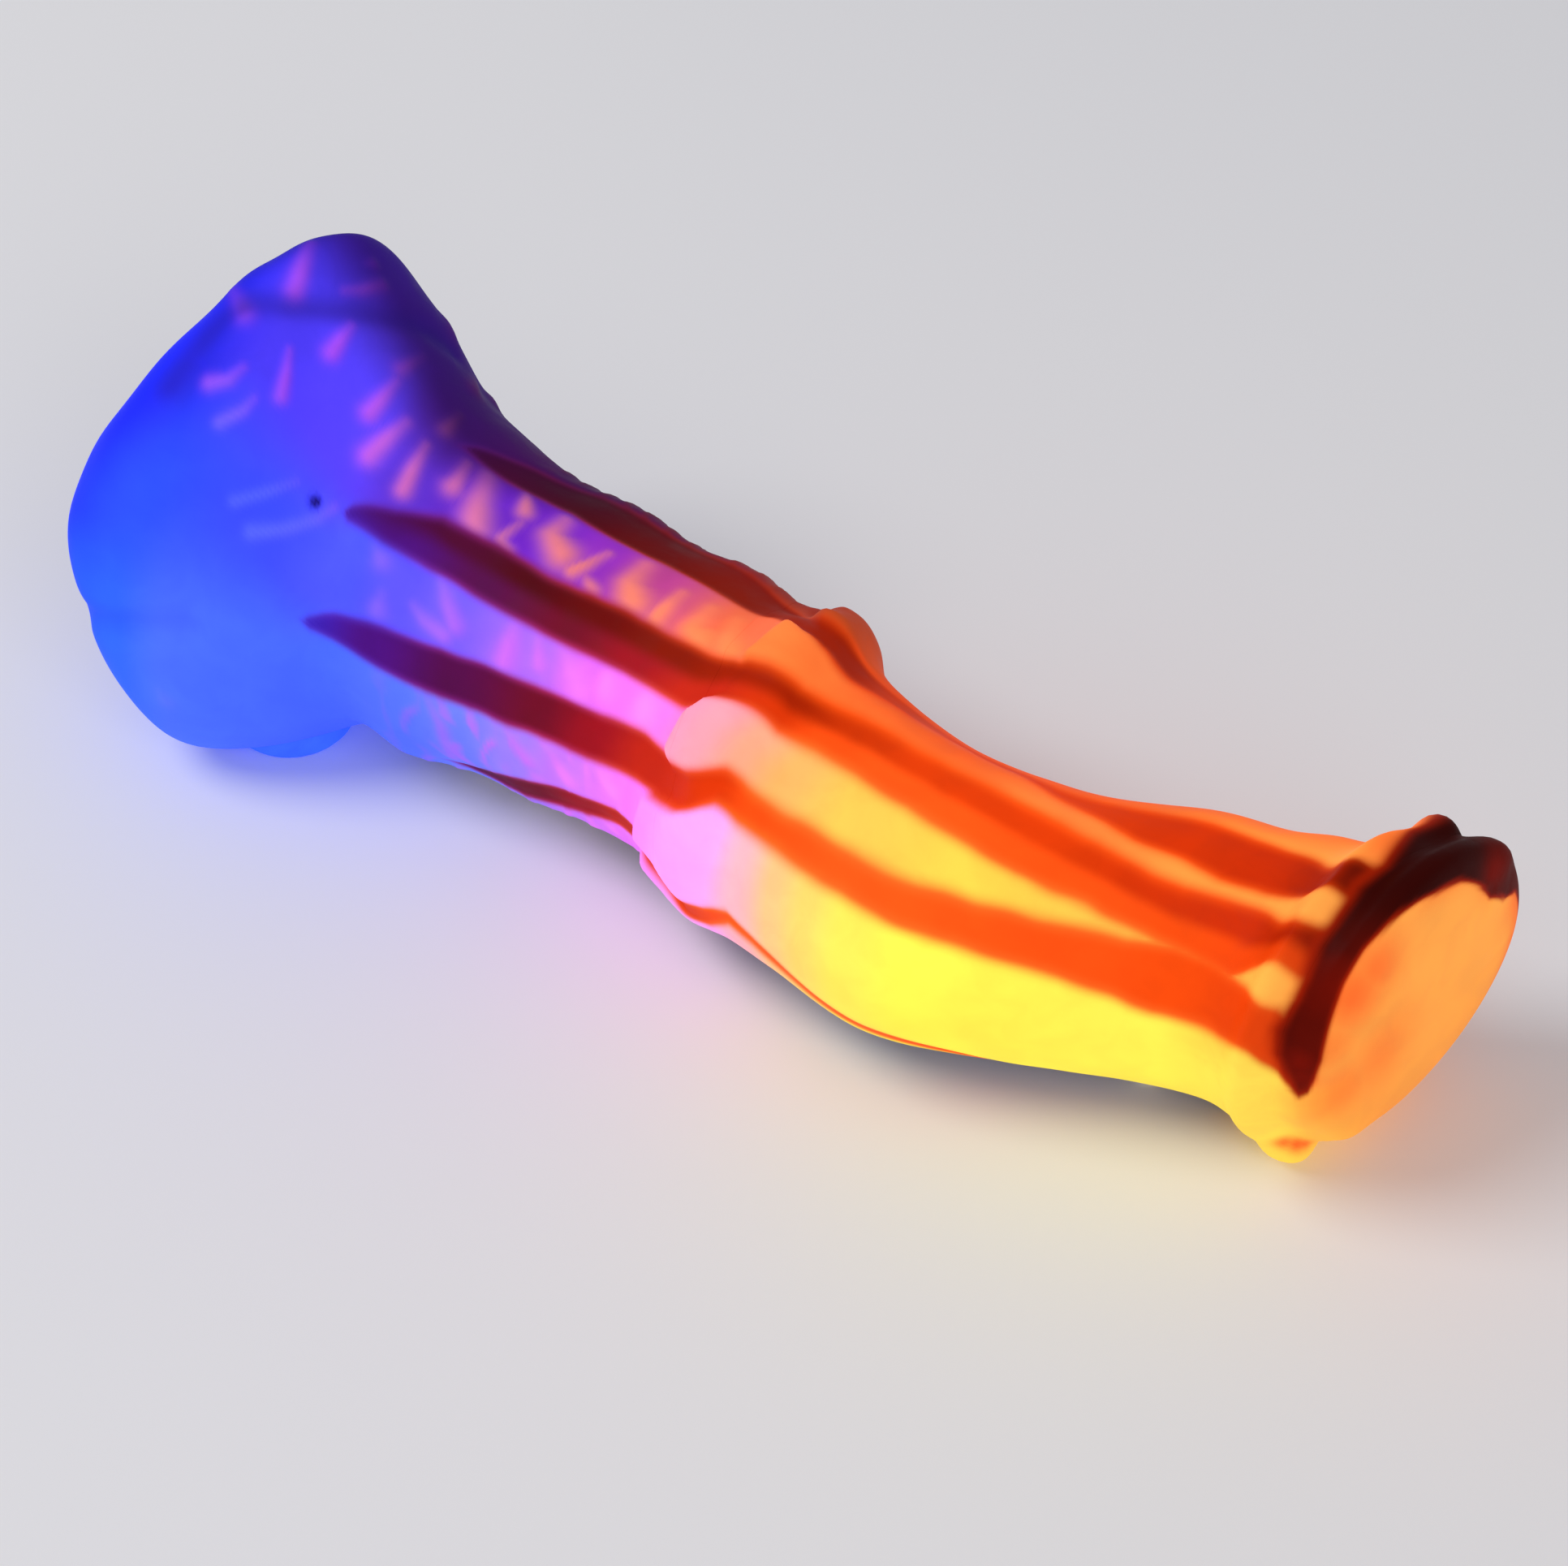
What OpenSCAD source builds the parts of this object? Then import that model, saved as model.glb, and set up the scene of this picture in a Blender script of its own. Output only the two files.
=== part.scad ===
// Lit one-piece novelty telephone. It lies face down: the outside is one flowing
// sculpted form, and the dial keys, the earpiece, the hook plunger and the
// battery door are on the flattened underside.
// Millimetres, +Z up, +X from the ear end towards the mouth end.

/* [Shell] */
// Wall of the moulded shells
wall = 2.6; // [2:0.1:3.4]
// Gap between a spigot and the shell it slides into
spigot_gap = 0.3; // [0.2:0.05:0.6]
// Gap of the seam lines between the shells
seam_gap = 0.3; // [0.2:0.05:0.6]
// Points around each section of the shells
sides = 40; // [24:4:48]
// Height of the flattened underside above the table
plate_z = 8; // [7:0.5:9]
// Radius of the posts that the shells are screwed down by
post_r = 3; // [2.6:0.1:3.6]

/* [Base plate] */
// Thickness of the base plate
plate_t = 2.5; // [2:0.1:3.2]
// Ear end of the base plate
plate_x0 = -68; // [-69:0.5:-66]
// Mouth end of the base plate
plate_x1 = 95; // [94:0.5:96]
// Gap between the plate and the shells around it
plate_gap = 0.3; // [0.2:0.05:0.5]
// Radius of the screw clearance holes
screw_hole_r = 1.25; // [1.15:0.05:1.4]
// Radius of the screw heads
screw_head_r = 2.4; // [2.1:0.1:2.6]

/* [Dial] */
// Length of a key along the handle
key_l = 7; // [6:0.1:7.6]
// Width of a key across the handle
key_w = 6.4; // [5.6:0.1:7]
// Distance between key rows
key_pitch_x = 10.5; // [9.8:0.1:11]
// Distance between key columns
key_pitch_y = 9.2; // [8.8:0.1:9.4]
// How far a key stands out of the dial plate
key_proud = 1.6; // [1.2:0.1:2]
// How far a key is pressed in
key_travel = 1; // [0.6:0.1:1.2]
// Gap between a key and its window
key_gap = 0.25; // [0.15:0.05:0.35]
// Thickness of the dial plate
dial_t = 1; // [0.8:0.1:1.4]
// Centre of the dial along the handle
dial_x = -36.25; // [-37:0.25:-35.5]
// Centre of the dial across the handle
dial_y = 4; // [3.5:0.1:4.5]

/* [Earpiece] */
// Centre of the earpiece along the phone
ear_x = -91; // [-92:0.5:-90]
// Centre of the earpiece across the phone
ear_y = -8.5; // [-9.5:0.5:-8]
// Radius of the bore in the head shell for the ear ring
ear_bore_r = 11.3; // [10.8:0.1:11.6]
// Height of the seat in the head shell
ear_seat_z = 9.5; // [9:0.1:10]
// Radius of the receiver capsule
receiver_r = 9; // [8:0.1:9.6]
// Height of the receiver capsule
receiver_h = 8.5; // [7:0.5:10]

/* [Battery bay] */
// Diameter of a cell
cell_d = 10.5; // [10:0.1:11]
// Length of a cell
cell_l = 44.5; // [43:0.5:45]
// Room in the tray for the springs and contacts, beyond the cells
spring_room = 3.5; // [3:0.1:4]
// Wire radius of the cell springs
spring_wire_r = 0.35; // [0.3:0.05:0.4]
// Middle of the battery bay across the phone
bay_y = -10.2; // [-10.4:0.1:-9.8]
// Wall of the battery tray
tray_wall = 1.2; // [1:0.1:1.4]
// Top of the battery tray above the table
tray_top = 22; // [21.5:0.25:23]
// How far the battery door slides
door_travel = 8; // [5:0.5:8.5]
// Running gap of the battery door
door_gap = 0.2; // [0.1:0.05:0.3]

/* [Hook and jack] */
// Radius of the hook plunger
hook_r = 2.6; // [2.2:0.1:3]
// How far the hook plunger springs out
hook_travel = 3; // [2:0.1:3.4]
// Place of the hook plunger along the phone
hook_x = 76.5; // [75.5:0.5:77.5]
// Wire diameter of the hook spring
hook_wire_d = 0.5; // [0.4:0.05:0.6]
// Running gap of the hook plunger in its bore
hook_gap = 0.1; // [0.05:0.01:0.2]
// Width of the line jack's mouth
jack_mouth_w = 9.7; // [9.5:0.1:9.9]
// Height of the line jack's mouth
jack_mouth_h = 6.7; // [6.5:0.1:6.9]

/* [Lamps] */
// Radius of a lamp
lamp_r = 2.5; // [1.5:0.1:3]
// Number of amber lamps in the body
amber_lamps = 6; // [3:1:6]
// Radius of the blue lamp's board
blue_board_r = 11; // [9:0.5:12]
// Thickness of the diffusers
diffuser_t = 1.2; // [0.8:0.1:1.6]

/* [Boards and small parts] */
// Thickness of the circuit boards
board_t = 1.6; // [1.2:0.1:2]
// Radius of a foot
foot_r = 3.2; // [2.6:0.1:3.6]
// Travel of the two slide switches
switch_travel = 2.5; // [1.5:0.1:3]
// Thickness of the steel weight in the handle
weight_t = 5; // [3:0.5:7]
// Diameter of the wires inside
wire_d = 1.4; // [1:0.1:1.8]

/* [Hidden] */
eps = 0.01;
$fn = 48;

// Sections of the sculpted form, from the nose of the head to the end of the base:
// x, y and z of the centre; reach up, down, towards -Y and towards +Y; shift in x
// per mm of y and of z; shift in y per mm of z.
SECTIONS = [
  [-122.5, -16.5, 45, 1, 1, 1, 1, 0, 0, 0.2],
  [-121.5, -16, 45, 10, 12, 8, 11, 0, 0, 0.2],
  [-117.5, -13.5, 44.5, 19, 20.5, 14.5, 20, 0, 0, 0.25],
  [-111.5, -9, 43.5, 28, 32.5, 21, 27, 0, 0, 0.3],
  [-102.5, -2.5, 43.5, 36, 41, 26.5, 30.5, 0, 0, 0.38],
  [-93.5, 2.5, 43, 39.5, 42, 29, 30.5, 0.05, -0.05, 0.42],
  [-83.5, 5.5, 40, 36, 37, 29, 27, 0.1, -0.1, 0.38],
  [-74.5, 6.5, 34, 33, 28, 27, 26, 0.1, -0.1, 0.3],
  [-68.5, 6.5, 31, 31, 25, 26, 26, 0.1, -0.05, 0.2],
  [-56.5, 6, 28, 28, 24.5, 25.5, 25.5, 0.05, 0, 0.1],
  [-39.5, 5.5, 27, 26, 24.5, 24.5, 25, 0, 0, 0],
  [-19.5, 2.5, 26.5, 26, 24.5, 23.5, 25.5, 0, 0, 0],
  [-5.5, -1.5, 26.5, 26.5, 25, 24, 26.5, 0, 0, 0],
  [1.5, -3, 27.5, 27.5, 27.5, 28, 28, 0, 0, 0],
  [8.5, -4.5, 27.5, 27.5, 27, 27.5, 27, 0, 0, 0],
  [17.5, -8.5, 26.5, 25, 26, 25, 24.5, 0, 0, 0],
  [35.5, -13.5, 25.5, 24.5, 25, 24, 24, 0, 0, 0],
  [53.5, -11.5, 25, 23, 24, 22.5, 22.5, 0, 0, 0],
  [67.5, -7.5, 24.5, 22.5, 23, 22, 22, 0, 0, 0],
  [80.5, -4.5, 25, 22.5, 22.5, 22, 22, 0.1, 0, 0],
  [92.5, -3.5, 26, 23, 23, 21.5, 22.5, 0.2, 0, 0],
  [99.5, -3, 27, 24.5, 25, 23.5, 24, 0.25, -0.05, 0],
  [104, -2.5, 28, 29, 27.5, 26.5, 27.5, 0.25, -0.05, 0],
  [108.5, -2, 28, 26.5, 24, 24, 27, 0.25, -0.05, 0],
  [112.5, -1.5, 28, 28, 22.5, 23.5, 28.5, 0.25, -0.05, 0],
  [115.5, -1.5, 28, 26, 20, 21.5, 26.5, 0.25, -0.05, 0],
  [117.5, -1.5, 28, 15, 13, 13, 15.5, 0.25, -0.05, 0],
  [118, -1.5, 28, 1, 1, 1, 1, 0.25, -0.05, 0]];
LAST = len(SECTIONS) - 1;
// Places along SECTIONS, counted in sections: the seam in front of the collar, the
// end of the head shell's spigot, the seam at the base and the end of its spigot
collar_seam = 12.2;
head_spigot_end = 13.6;
base_seam = 23;
base_spigot_end = base_seam - 1.2;
base_reach = LAST - base_seam;

plate_top = plate_z + plate_t;
ear_flange = 2;

// What lies along the body, each piece placed from its neighbour: the hook, the jack,
// the rear post, the battery bay, the two switches and the bulkhead
flange_r = hook_r + 1.3;
housing_r = flange_r + 1.3;
jack_x = hook_x + 0.5;
rear_post_x = hook_x - housing_r - post_r - 0.9;
bay_l = cell_l + spring_room;
bay_x1 = rear_post_x - post_r - 0.5;
bay_x0 = bay_x1 - bay_l - 2 * tray_wall;
switch_body_l = 9;
switch_x = bay_x0 - door_travel - 7;
baffle_x = switch_x + switch_body_l / 2;

// Smooth curve through four values
function curve(a, b, c, d, t) =
  0.5 * (2 * b + (c - a) * t + (2 * a - 5 * b + 4 * c - d) * t * t
    + (3 * b - a - 3 * c + d) * t * t * t);
// The section at place u, with u counted in sections
function section(u) =
  let (i = max(0, min(LAST - 1, floor(u))), t = u - i)
  curve(SECTIONS[max(0, i - 1)], SECTIONS[i], SECTIONS[i + 1], SECTIONS[min(LAST, i + 2)], t);
// Points around the section at place u, moved in by inset
function ring(u, inset) =
  let (s = section(u))
  [for (k = [0:sides - 1])
    let (a = 360 * k / sides,
      y = max(0.4, (cos(a) > 0 ? s[6] : s[5]) - inset) * cos(a),
      z = max(0.4, (sin(a) > 0 ? s[3] : s[4]) - inset) * sin(a))
    [s[0] + s[7] * y + s[8] * z, s[1] + y + s[9] * z, s[2] + z]];
// Place along SECTIONS of a given x
function place(x, i = 0) =
  i >= LAST || SECTIONS[i + 1][0] >= x
    ? i + (x - SECTIONS[i][0]) / (SECTIONS[i + 1][0] - SECTIONS[i][0])
    : place(x, i + 1);
// Height of the underside's flat below the centre of section s
function flat_depth(s) = s[2] - plate_z;
// Half width of section s where the flat cuts it, for the side's reach r
function flat_half(s, r) = r * sqrt(max(0, 1 - pow(flat_depth(s) / s[4], 2)));
// The two edges of the flat at x
function near_edge(x) =
  let (s = section(place(x))) s[1] - s[9] * flat_depth(s) - flat_half(s, s[5]);
function far_edge(x) =
  let (s = section(place(x))) s[1] - s[9] * flat_depth(s) + flat_half(s, s[6]);
// Middle of the flat at x
function mid(x) = (near_edge(x) + far_edge(x)) / 2;
// Height of the shells' roof above the table at x and y
function roof_at(x, y) =
  let (s = section(place(x)), dy = y - s[1] - s[9] * s[3])
  s[2] + s[3] * sqrt(max(0, 1 - pow(dy / (dy > 0 ? s[6] : s[5]), 2)));
// Height at which a post of radius r at x and y ends, inside the shell's wall
function post_end(x, y, r) =
  min([for (dx = [-r, 0, r]) for (dy = [-r, 0, r]) roof_at(x + dx, y + dy)]) - wall / 3;

// Closed solid through a list of [place, inset] rings, outside first, then inside
module shell_solid(path, loop = false) {
  n = len(path);
  points = [for (p = path) each ring(p[0], p[1])];
  caps = [
    [for (k = [0:sides - 1]) k],
    [for (k = [sides - 1:-1:0]) (n - 1) * sides + k]];
  strips = [
    for (i = [0:loop ? n - 1 : n - 2]) for (k = [0:sides - 1])
      let (a = i * sides + k, b = i * sides + (k + 1) % sides,
        c = (i + 1) % n * sides + k, d = (i + 1) % n * sides + (k + 1) % sides)
      each [[a, c, b], [b, c, d]]];
  polyhedron(points, concat(loop ? [] : caps, strips), convexity = 6);
}

// Tube with eight sides along a list of points
module wire(points, d = wire_d) {
  n = len(points);
  turn = function(i) points[min(n - 1, i + 1)] - points[max(0, i - 1)];
  unit = function(v) v / norm(v);
  rings = [for (i = [0:n - 1])
    let (f = unit(turn(i)), s = unit(cross(f, abs(f[2]) > 0.9 ? [0, 1, 0] : [0, 0, 1])),
      u = cross(s, f))
    for (k = [0:7]) points[i] + d / 2 * (cos(45 * k) * s + sin(45 * k) * u)];
  faces = [
    [for (k = [7:-1:0]) k],
    [for (k = [0:7]) (n - 1) * 8 + k],
    for (i = [0:n - 2]) for (k = [0:7])
      let (a = i * 8 + k, b = i * 8 + (k + 1) % 8)
      each [[a, b, a + 8], [b, b + 8, a + 8]]];
  polyhedron(rings, faces, convexity = 4);
}

// Flat slab with round corners, centred in x and y, standing on z = 0
module slab(l, w, h, r) {
  linear_extrude(h) union() {
    square([l - 2 * r, w], center = true);
    square([l, w - 2 * r], center = true);
    for (sx = [-1, 1]) for (sy = [-1, 1])
      translate([sx * (l / 2 - r), sy * (w / 2 - r)]) circle(r);
  }
}

// Box centred in x and y, standing on z = 0
module block(l, w, h) {
  translate([-l / 2, -w / 2, 0]) cube([l, w, h]);
}

// Outline of the base plate, moved out by grow
module plate_outline(grow = 0) {
  steps = 18;
  xs = [for (i = [0:steps]) plate_x0 + (plate_x1 - plate_x0) * i / steps];
  near = [for (x = xs) [x + (x == xs[0] ? -grow : x == xs[steps] ? grow : 0),
    near_edge(x) + 2 * plate_gap - grow]];
  far = [for (i = [steps:-1:0]) let (x = xs[i])
    [x + (i == 0 ? -grow : i == steps ? grow : 0), far_edge(x) - 2 * plate_gap + grow]];
  polygon(concat(near, far));
}

// What the underside takes out of the shells: everything below the flat, and the
// pocket that the base plate lies in
module underside_cut() {
  translate([plate_x0 - 2, -60, -20])
    cube([plate_x1 - plate_x0 + 3, 120, 20 + plate_z]);
  translate([0, 0, plate_z - 1]) linear_extrude(plate_t + 1 + plate_gap / 2)
    plate_outline(plate_gap);
}

head_post_x = plate_x0 + 4;
neck_post_x = -9;
// Places of the screws that hold the shells to the base plate
post_places = [for (x = [head_post_x, neck_post_x, rear_post_x]) [x, mid(x)]];

// Post inside a shell at place p, from the base plate up into the roof
module shell_post(p) {
  z0 = plate_top + plate_gap / 2;
  translate([p[0], p[1], z0]) difference() {
    cylinder(r = post_r, h = post_end(p[0], p[1], post_r) - z0);
    translate([0, 0, -1]) cylinder(r = screw_hole_r - 0.2, h = 13);
  }
}

// Head and handle in one moulding
module head_shell() {
  outer = [for (u = [0.15, 0.5, each [1:0.5:12], collar_seam]) [u, 0]];
  spigot = [for (u = [collar_seam:0.35:head_spigot_end]) [u, wall + spigot_gap]];
  inside_spigot = [[head_spigot_end, 2 * wall], [collar_seam, 2 * wall], [11.9, 2 * wall]];
  inner = [for (u = [11.7, each [11:-0.5:3.5]]) [u, wall]];
  nose = [[3, wall + 1], [2.6, wall + 4], [2.35, wall + 10]];
  color("royalblue") difference() {
    union() {
      shell_solid(concat(outer, spigot, inside_spigot, inner, nose));
      shell_post(post_places[0]);
      shell_post(post_places[1]);
    }
    underside_cut();
    translate([ear_x, ear_y, -5]) cylinder(r = ear_bore_r, h = ear_seat_z + 6);
    translate([ear_x, ear_y, ear_seat_z]) cylinder(r = ear_bore_r + ear_flange + 0.3, h = 4);
  }
}

// Collar and body in one moulding
module body_shell() {
  outer = [for (u = [collar_seam + 0.03, 12.5, each [13:0.5:base_seam - 0.1], base_seam]) [u, 0]];
  seam_rings = [base_seam, base_seam - 0.5, base_seam - 1, base_spigot_end];
  inner_rings = [for (u = [base_spigot_end - 0.3:-0.5:12.3]) u];
  inner = [for (u = concat(seam_rings, inner_rings)) [u, wall]];
  color("orange") difference() {
    union() {
      shell_solid(concat(outer, inner, [[collar_seam + 0.03, wall]]), loop = true);
      shell_post(post_places[2]);
    }
    underside_cut();
  }
}

// Domed cap that closes the base
module end_cap() {
  start = base_seam + seam_gap / 4;
  inside = [[base_seam + 0.475 * base_reach, wall + 6], [base_seam + 0.425 * base_reach, wall + 2],
    [base_seam + 0.25 * base_reach, 2 * wall], [base_spigot_end, 2 * wall]];
  spigot = [for (u = [base_spigot_end, base_seam - 1, base_seam - 0.5, start])
    [u, wall + spigot_gap]];
  steps = [0.125, 0.25, 0.34, 0.425, 0.5, 0.625, 0.75, 0.875, 0.9625];
  outer = [[start, 0], each [for (t = steps) [base_seam + t * base_reach, 0]]];
  color("sandybrown") shell_solid(concat(inside, spigot, outer));
}

key_row_x = [for (i = [0:3]) dial_x + (i - 1.5) * key_pitch_x];
key_col_y = [for (i = [0:2]) dial_y + (1 - i) * key_pitch_y];
dial_l = 3 * key_pitch_x + key_l + 4.5;
dial_w = 2 * key_pitch_y + key_w + 2.2;
key_flange = 0.7;
keys_l = 3 * key_pitch_x + key_l + 2 * key_flange;
keys_w = 2 * key_pitch_y + key_w + 2 * key_flange;
board_margin = 1.9;
board_l = keys_l + 4 * board_margin;
board_w = dial_w - 4.6;
dial_z = plate_z - dial_t;
flange_z = plate_z + 0.05;
stem_r = 1.3;
contact_gap = 0.1;
membrane_t = key_travel - 0.3;
membrane_z = plate_top;
key_board_z = plate_top + membrane_t + contact_gap;
stem_top = key_board_z - contact_gap - key_travel;

// Places of the screws through the key board
board_screw_places = [for (sx = [-1, 1]) [dial_x + sx * (board_l / 2 - board_margin), dial_y]];

// Places of the pillars under the handle's weight
weight_pillars = [for (sx = [-1, 1]) for (sy = [-1, 1])
  [dial_x + sx * (board_l / 2 - board_margin), dial_y + sy * 7.5]];
pillar_r = 1.4;
pillar_hole_r = pillar_r + 0.2;
weight_z = key_board_z + board_t + 3;

// The two feet at the mouth end
foot_x = plate_x1 - 5;
foot_places = [[foot_x, mid(foot_x) + 9], [foot_x, mid(foot_x) - 5]];

hook_y = mid(hook_x) - 5.6;
jack_y = mid(jack_x) + 6.4;
mic_x = plate_x1 - 6.4;
mic_y = mid(mic_x) + 2;
mic_r = 4;
switch_ys = [mid(switch_x) + 8.4, mid(switch_x) - 8.4];
switch_slot_l = 3.4 + switch_travel;
knob_w = 2.4;

bay_w = 2 * cell_d + 0.8;
door_w = bay_w - 1;
door_l = bay_l + 2 * tray_wall - 0.4;
door_t = 1.3;
door_ledge = 0.6;

// Base plate: carries the dial, the bay, the hook, the jack and the feet
module base_plate() {
  color("midnightblue") difference() {
    union() {
      translate([0, 0, plate_z]) linear_extrude(plate_t) plate_outline();
      for (p = weight_pillars) translate([p[0], p[1], plate_top - eps])
        difference() {
          cylinder(r = pillar_r, h = weight_z - plate_top + eps);
          translate([0, 0, 1]) cylinder(r = 0.7, h = 20);
        }
    }
    translate([dial_x, dial_y, plate_z - 1])
      block(keys_l + 0.6, keys_w + 0.6, plate_t + 2);
    for (p = post_places) translate([p[0], p[1], plate_z - 1]) {
      cylinder(r = screw_hole_r, h = plate_t + 2);
      cylinder(r = screw_head_r + 0.2, h = 2.4);
    }
    battery_cut();
    translate([hook_x, hook_y, plate_z - 1]) cylinder(r = hook_r + hook_gap, h = plate_t + 2);
    translate([jack_x, jack_y, plate_z - 1]) block(jack_mouth_w + 0.6, jack_mouth_h + 0.6, plate_t + 2);
    for (a = [0:120:240]) translate([mic_x, mic_y, plate_z - 1]) rotate(a)
      translate([1.9, 0, 0]) cylinder(r = 0.8, h = plate_t + 2);
    for (y = switch_ys) translate([switch_x, y, plate_z - 1])
      block(switch_slot_l + 0.4, knob_w + 0.4, plate_t + 2);
    for (p = foot_places) translate([p[0], p[1], plate_z - 1]) cylinder(r = 1.5, h = plate_t + 2);
    for (p = board_screw_places) translate([p[0], p[1], plate_top - 1.6]) cylinder(r = 0.7, h = 3);
  }
}

// The bay's opening in the base plate, with the slot that the door slides in
module battery_cut() {
  translate([bay_x0, bay_y - bay_w / 2 - 0.3, plate_z + door_t + door_gap])
    cube([bay_x1 - bay_x0, bay_w + 0.6, plate_t]);
  translate([bay_x0 - door_travel - 0.2, bay_y - door_w / 2 - door_gap, plate_z - 1])
    cube([bay_x1 - bay_x0 + door_travel + 0.2, door_w + 2 * door_gap, 1 + door_t + door_gap]);
  translate([bay_x0 - door_travel - 0.2, bay_y - door_w / 2 - door_ledge - door_gap, plate_z + 0.7])
    cube([bay_x1 - bay_x0 + door_travel + 0.2, door_w + 2 * door_ledge + 2 * door_gap,
      door_t - 0.7 + door_gap]);
}

// Plate around the keys
module dial_plate() {
  color("silver") difference() {
    translate([dial_x, dial_y, dial_z]) slab(dial_l, dial_w, dial_t, 2.5);
    for (x = key_row_x) for (y = key_col_y) translate([x, y, dial_z - 1])
      slab(key_l + 2 * key_gap, key_w + 2 * key_gap, dial_t + 2, 1.2 + key_gap);
  }
}

// One key at row r and column c, with the flange that keeps it in its window
module dial_key(r, c) {
  color("ivory") translate([key_row_x[r], key_col_y[c], 0]) {
    translate([0, 0, dial_z - key_proud]) slab(key_l, key_w, flange_z - dial_z + key_proud, 1.2);
    translate([0, 0, flange_z]) block(key_l + 2 * key_flange, key_w + 2 * key_flange, 0.7);
    translate([0, 0, flange_z]) cylinder(r = stem_r, h = stem_top - flange_z);
  }
}

// Rubber sheet between the keys and their board
module key_membrane() {
  color("dimgray") difference() {
    translate([dial_x, dial_y, membrane_z]) block(board_l, board_w, membrane_t);
    for (x = key_row_x) for (y = key_col_y) translate([x, y, membrane_z - 1])
      cylinder(r = stem_r + 0.3, h = membrane_t + 2);
    for (p = board_screw_places) translate([p[0], p[1], membrane_z - 1]) cylinder(r = 1, h = 3);
    for (p = weight_pillars) translate([p[0], p[1], membrane_z - 1]) cylinder(r = pillar_hole_r, h = 3);
  }
}

// Board with the key contacts and the dialling chip
module key_board() {
  color("darkgreen") {
    difference() {
      translate([dial_x, dial_y, key_board_z - contact_gap]) block(board_l, board_w, board_t);
      translate([dial_x, dial_y, key_board_z - contact_gap - 1])
        block(keys_l, board_w - 1.5, 1 + contact_gap);
      for (p = board_screw_places) translate([p[0], p[1], plate_top]) cylinder(r = 1, h = 5);
      for (p = weight_pillars) translate([p[0], p[1], plate_top]) cylinder(r = pillar_hole_r, h = 5);
    }
    translate([dial_x + 6, dial_y, key_board_z - contact_gap + board_t]) block(10, 7, 1.6);
    translate([dial_x - 8, dial_y, key_board_z - contact_gap + board_t]) block(5, 9, 1.2);
  }
}

// Pan-head screw with its head down and its thread up, from z = 0
module screw(head_r, head_h, r, l) {
  difference() {
    union() {
      cylinder(r = head_r, h = head_h);
      translate([0, 0, head_h]) cylinder(r = r, h = l);
    }
    translate([0, 0, -1]) block(head_r * 1.3, 0.6, 1 + head_h / 2);
    translate([0, 0, -1]) block(0.6, head_r * 1.3, 1 + head_h / 2);
  }
}

// Screws that hold the key board down
module board_screws() {
  color("lightgray") for (p = board_screw_places)
    translate([p[0], p[1], key_board_z - contact_gap + board_t + 1]) mirror([0, 0, 1])
      screw(1.7, 1, 0.7, board_t + membrane_t + 1.2);
}

// Rubber ring that rests on the table and against the ear
module ear_ring() {
  rim = ear_bore_r - 0.3;
  color("black") translate([ear_x, ear_y, 0]) rotate_extrude() polygon([
    [rim - 3, 1], [rim - 2.4, 0], [rim - 0.8, 0], [rim, 1], [rim, ear_seat_z],
    [rim - 3, ear_seat_z]]);
}

grille_r = ear_bore_r - 0.3 - 3 - 0.1;
grille_z = 3;

// Pierced disc inside the ear ring
module ear_grille() {
  color("silver") translate([ear_x, ear_y, 0]) difference() {
    translate([0, 0, grille_z]) cylinder(r = grille_r, h = ear_seat_z - grille_z);
    translate([0, 0, grille_z + 1.4]) cylinder(r = grille_r - 1.2, h = 10);
    translate([0, 0, grille_z - 1]) cylinder(r = 0.7, h = 4);
    for (n = [1:2]) for (k = [0:6 * n - 1]) rotate(360 * k / (6 * n))
      translate([3.2 * n, 0, grille_z - 1]) cylinder(r = 0.7, h = 4);
  }
}

holder_t = 1.8;

// Flange that holds the ear ring, the grille and the receiver
module receiver_holder() {
  color("gray") translate([ear_x, ear_y, ear_seat_z]) difference() {
    cylinder(r = ear_bore_r + ear_flange, h = holder_t);
    translate([0, 0, -1]) cylinder(r = receiver_r - 2, h = holder_t + 2);
  }
}

// The receiver itself, a capsule with its magnet
module receiver_capsule() {
  color("darkgray") translate([ear_x, ear_y, ear_seat_z + holder_t]) {
    cylinder(r = receiver_r, h = receiver_h * 0.7);
    cylinder(r = receiver_r * 0.6, h = receiver_h);
    translate([receiver_r * 0.72, 0, 0]) block(2.4, 4, receiver_h * 0.7 + 1);
  }
}

receiver_top = ear_seat_z + holder_t + receiver_h * 0.7 + 1;
board_top = key_board_z - contact_gap + board_t;
wire_end_x = dial_x - board_l / 2 + 3;
head_post = [post_places[0][0], post_places[0][1], 0];

// Cable from the receiver to the key board
module receiver_wires() {
  start = ear_x + receiver_r * 0.72;
  color("red") wire([[start, ear_y, receiver_top + 0.1], [start, ear_y, receiver_top + 3.5],
    head_post + [-14, -8.8, 22.5], head_post + [-7, -6.8, 19.5],
    head_post + [-1.5, -6.4, 16], head_post + [3, -4.4, 14.4],
    [wire_end_x, dial_y - 4.2, board_top + wire_d / 2 + 0.1]]);
}

// Steel plate that gives the handle its weight
module handle_weight() {
  color("slategray") difference() {
    translate([dial_x, dial_y, weight_z]) slab(board_l + 1, 22, weight_t, 3);
    for (p = weight_pillars) translate([p[0], p[1], weight_z - 1]) cylinder(r = 1, h = weight_t + 2);
  }
}

// Screws that hold the weight on its pillars
module weight_screws() {
  color("lightgray") for (p = weight_pillars)
    translate([p[0], p[1], weight_z + weight_t + 1]) mirror([0, 0, 1])
      screw(1.7, 1, 0.7, weight_t + 1.2);
}

bracket_t = 2;
bracket_x = post_places[0][0] - post_r - 3.5;
blue_y = post_places[0][1] + 2;
blue_z = 38;

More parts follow.
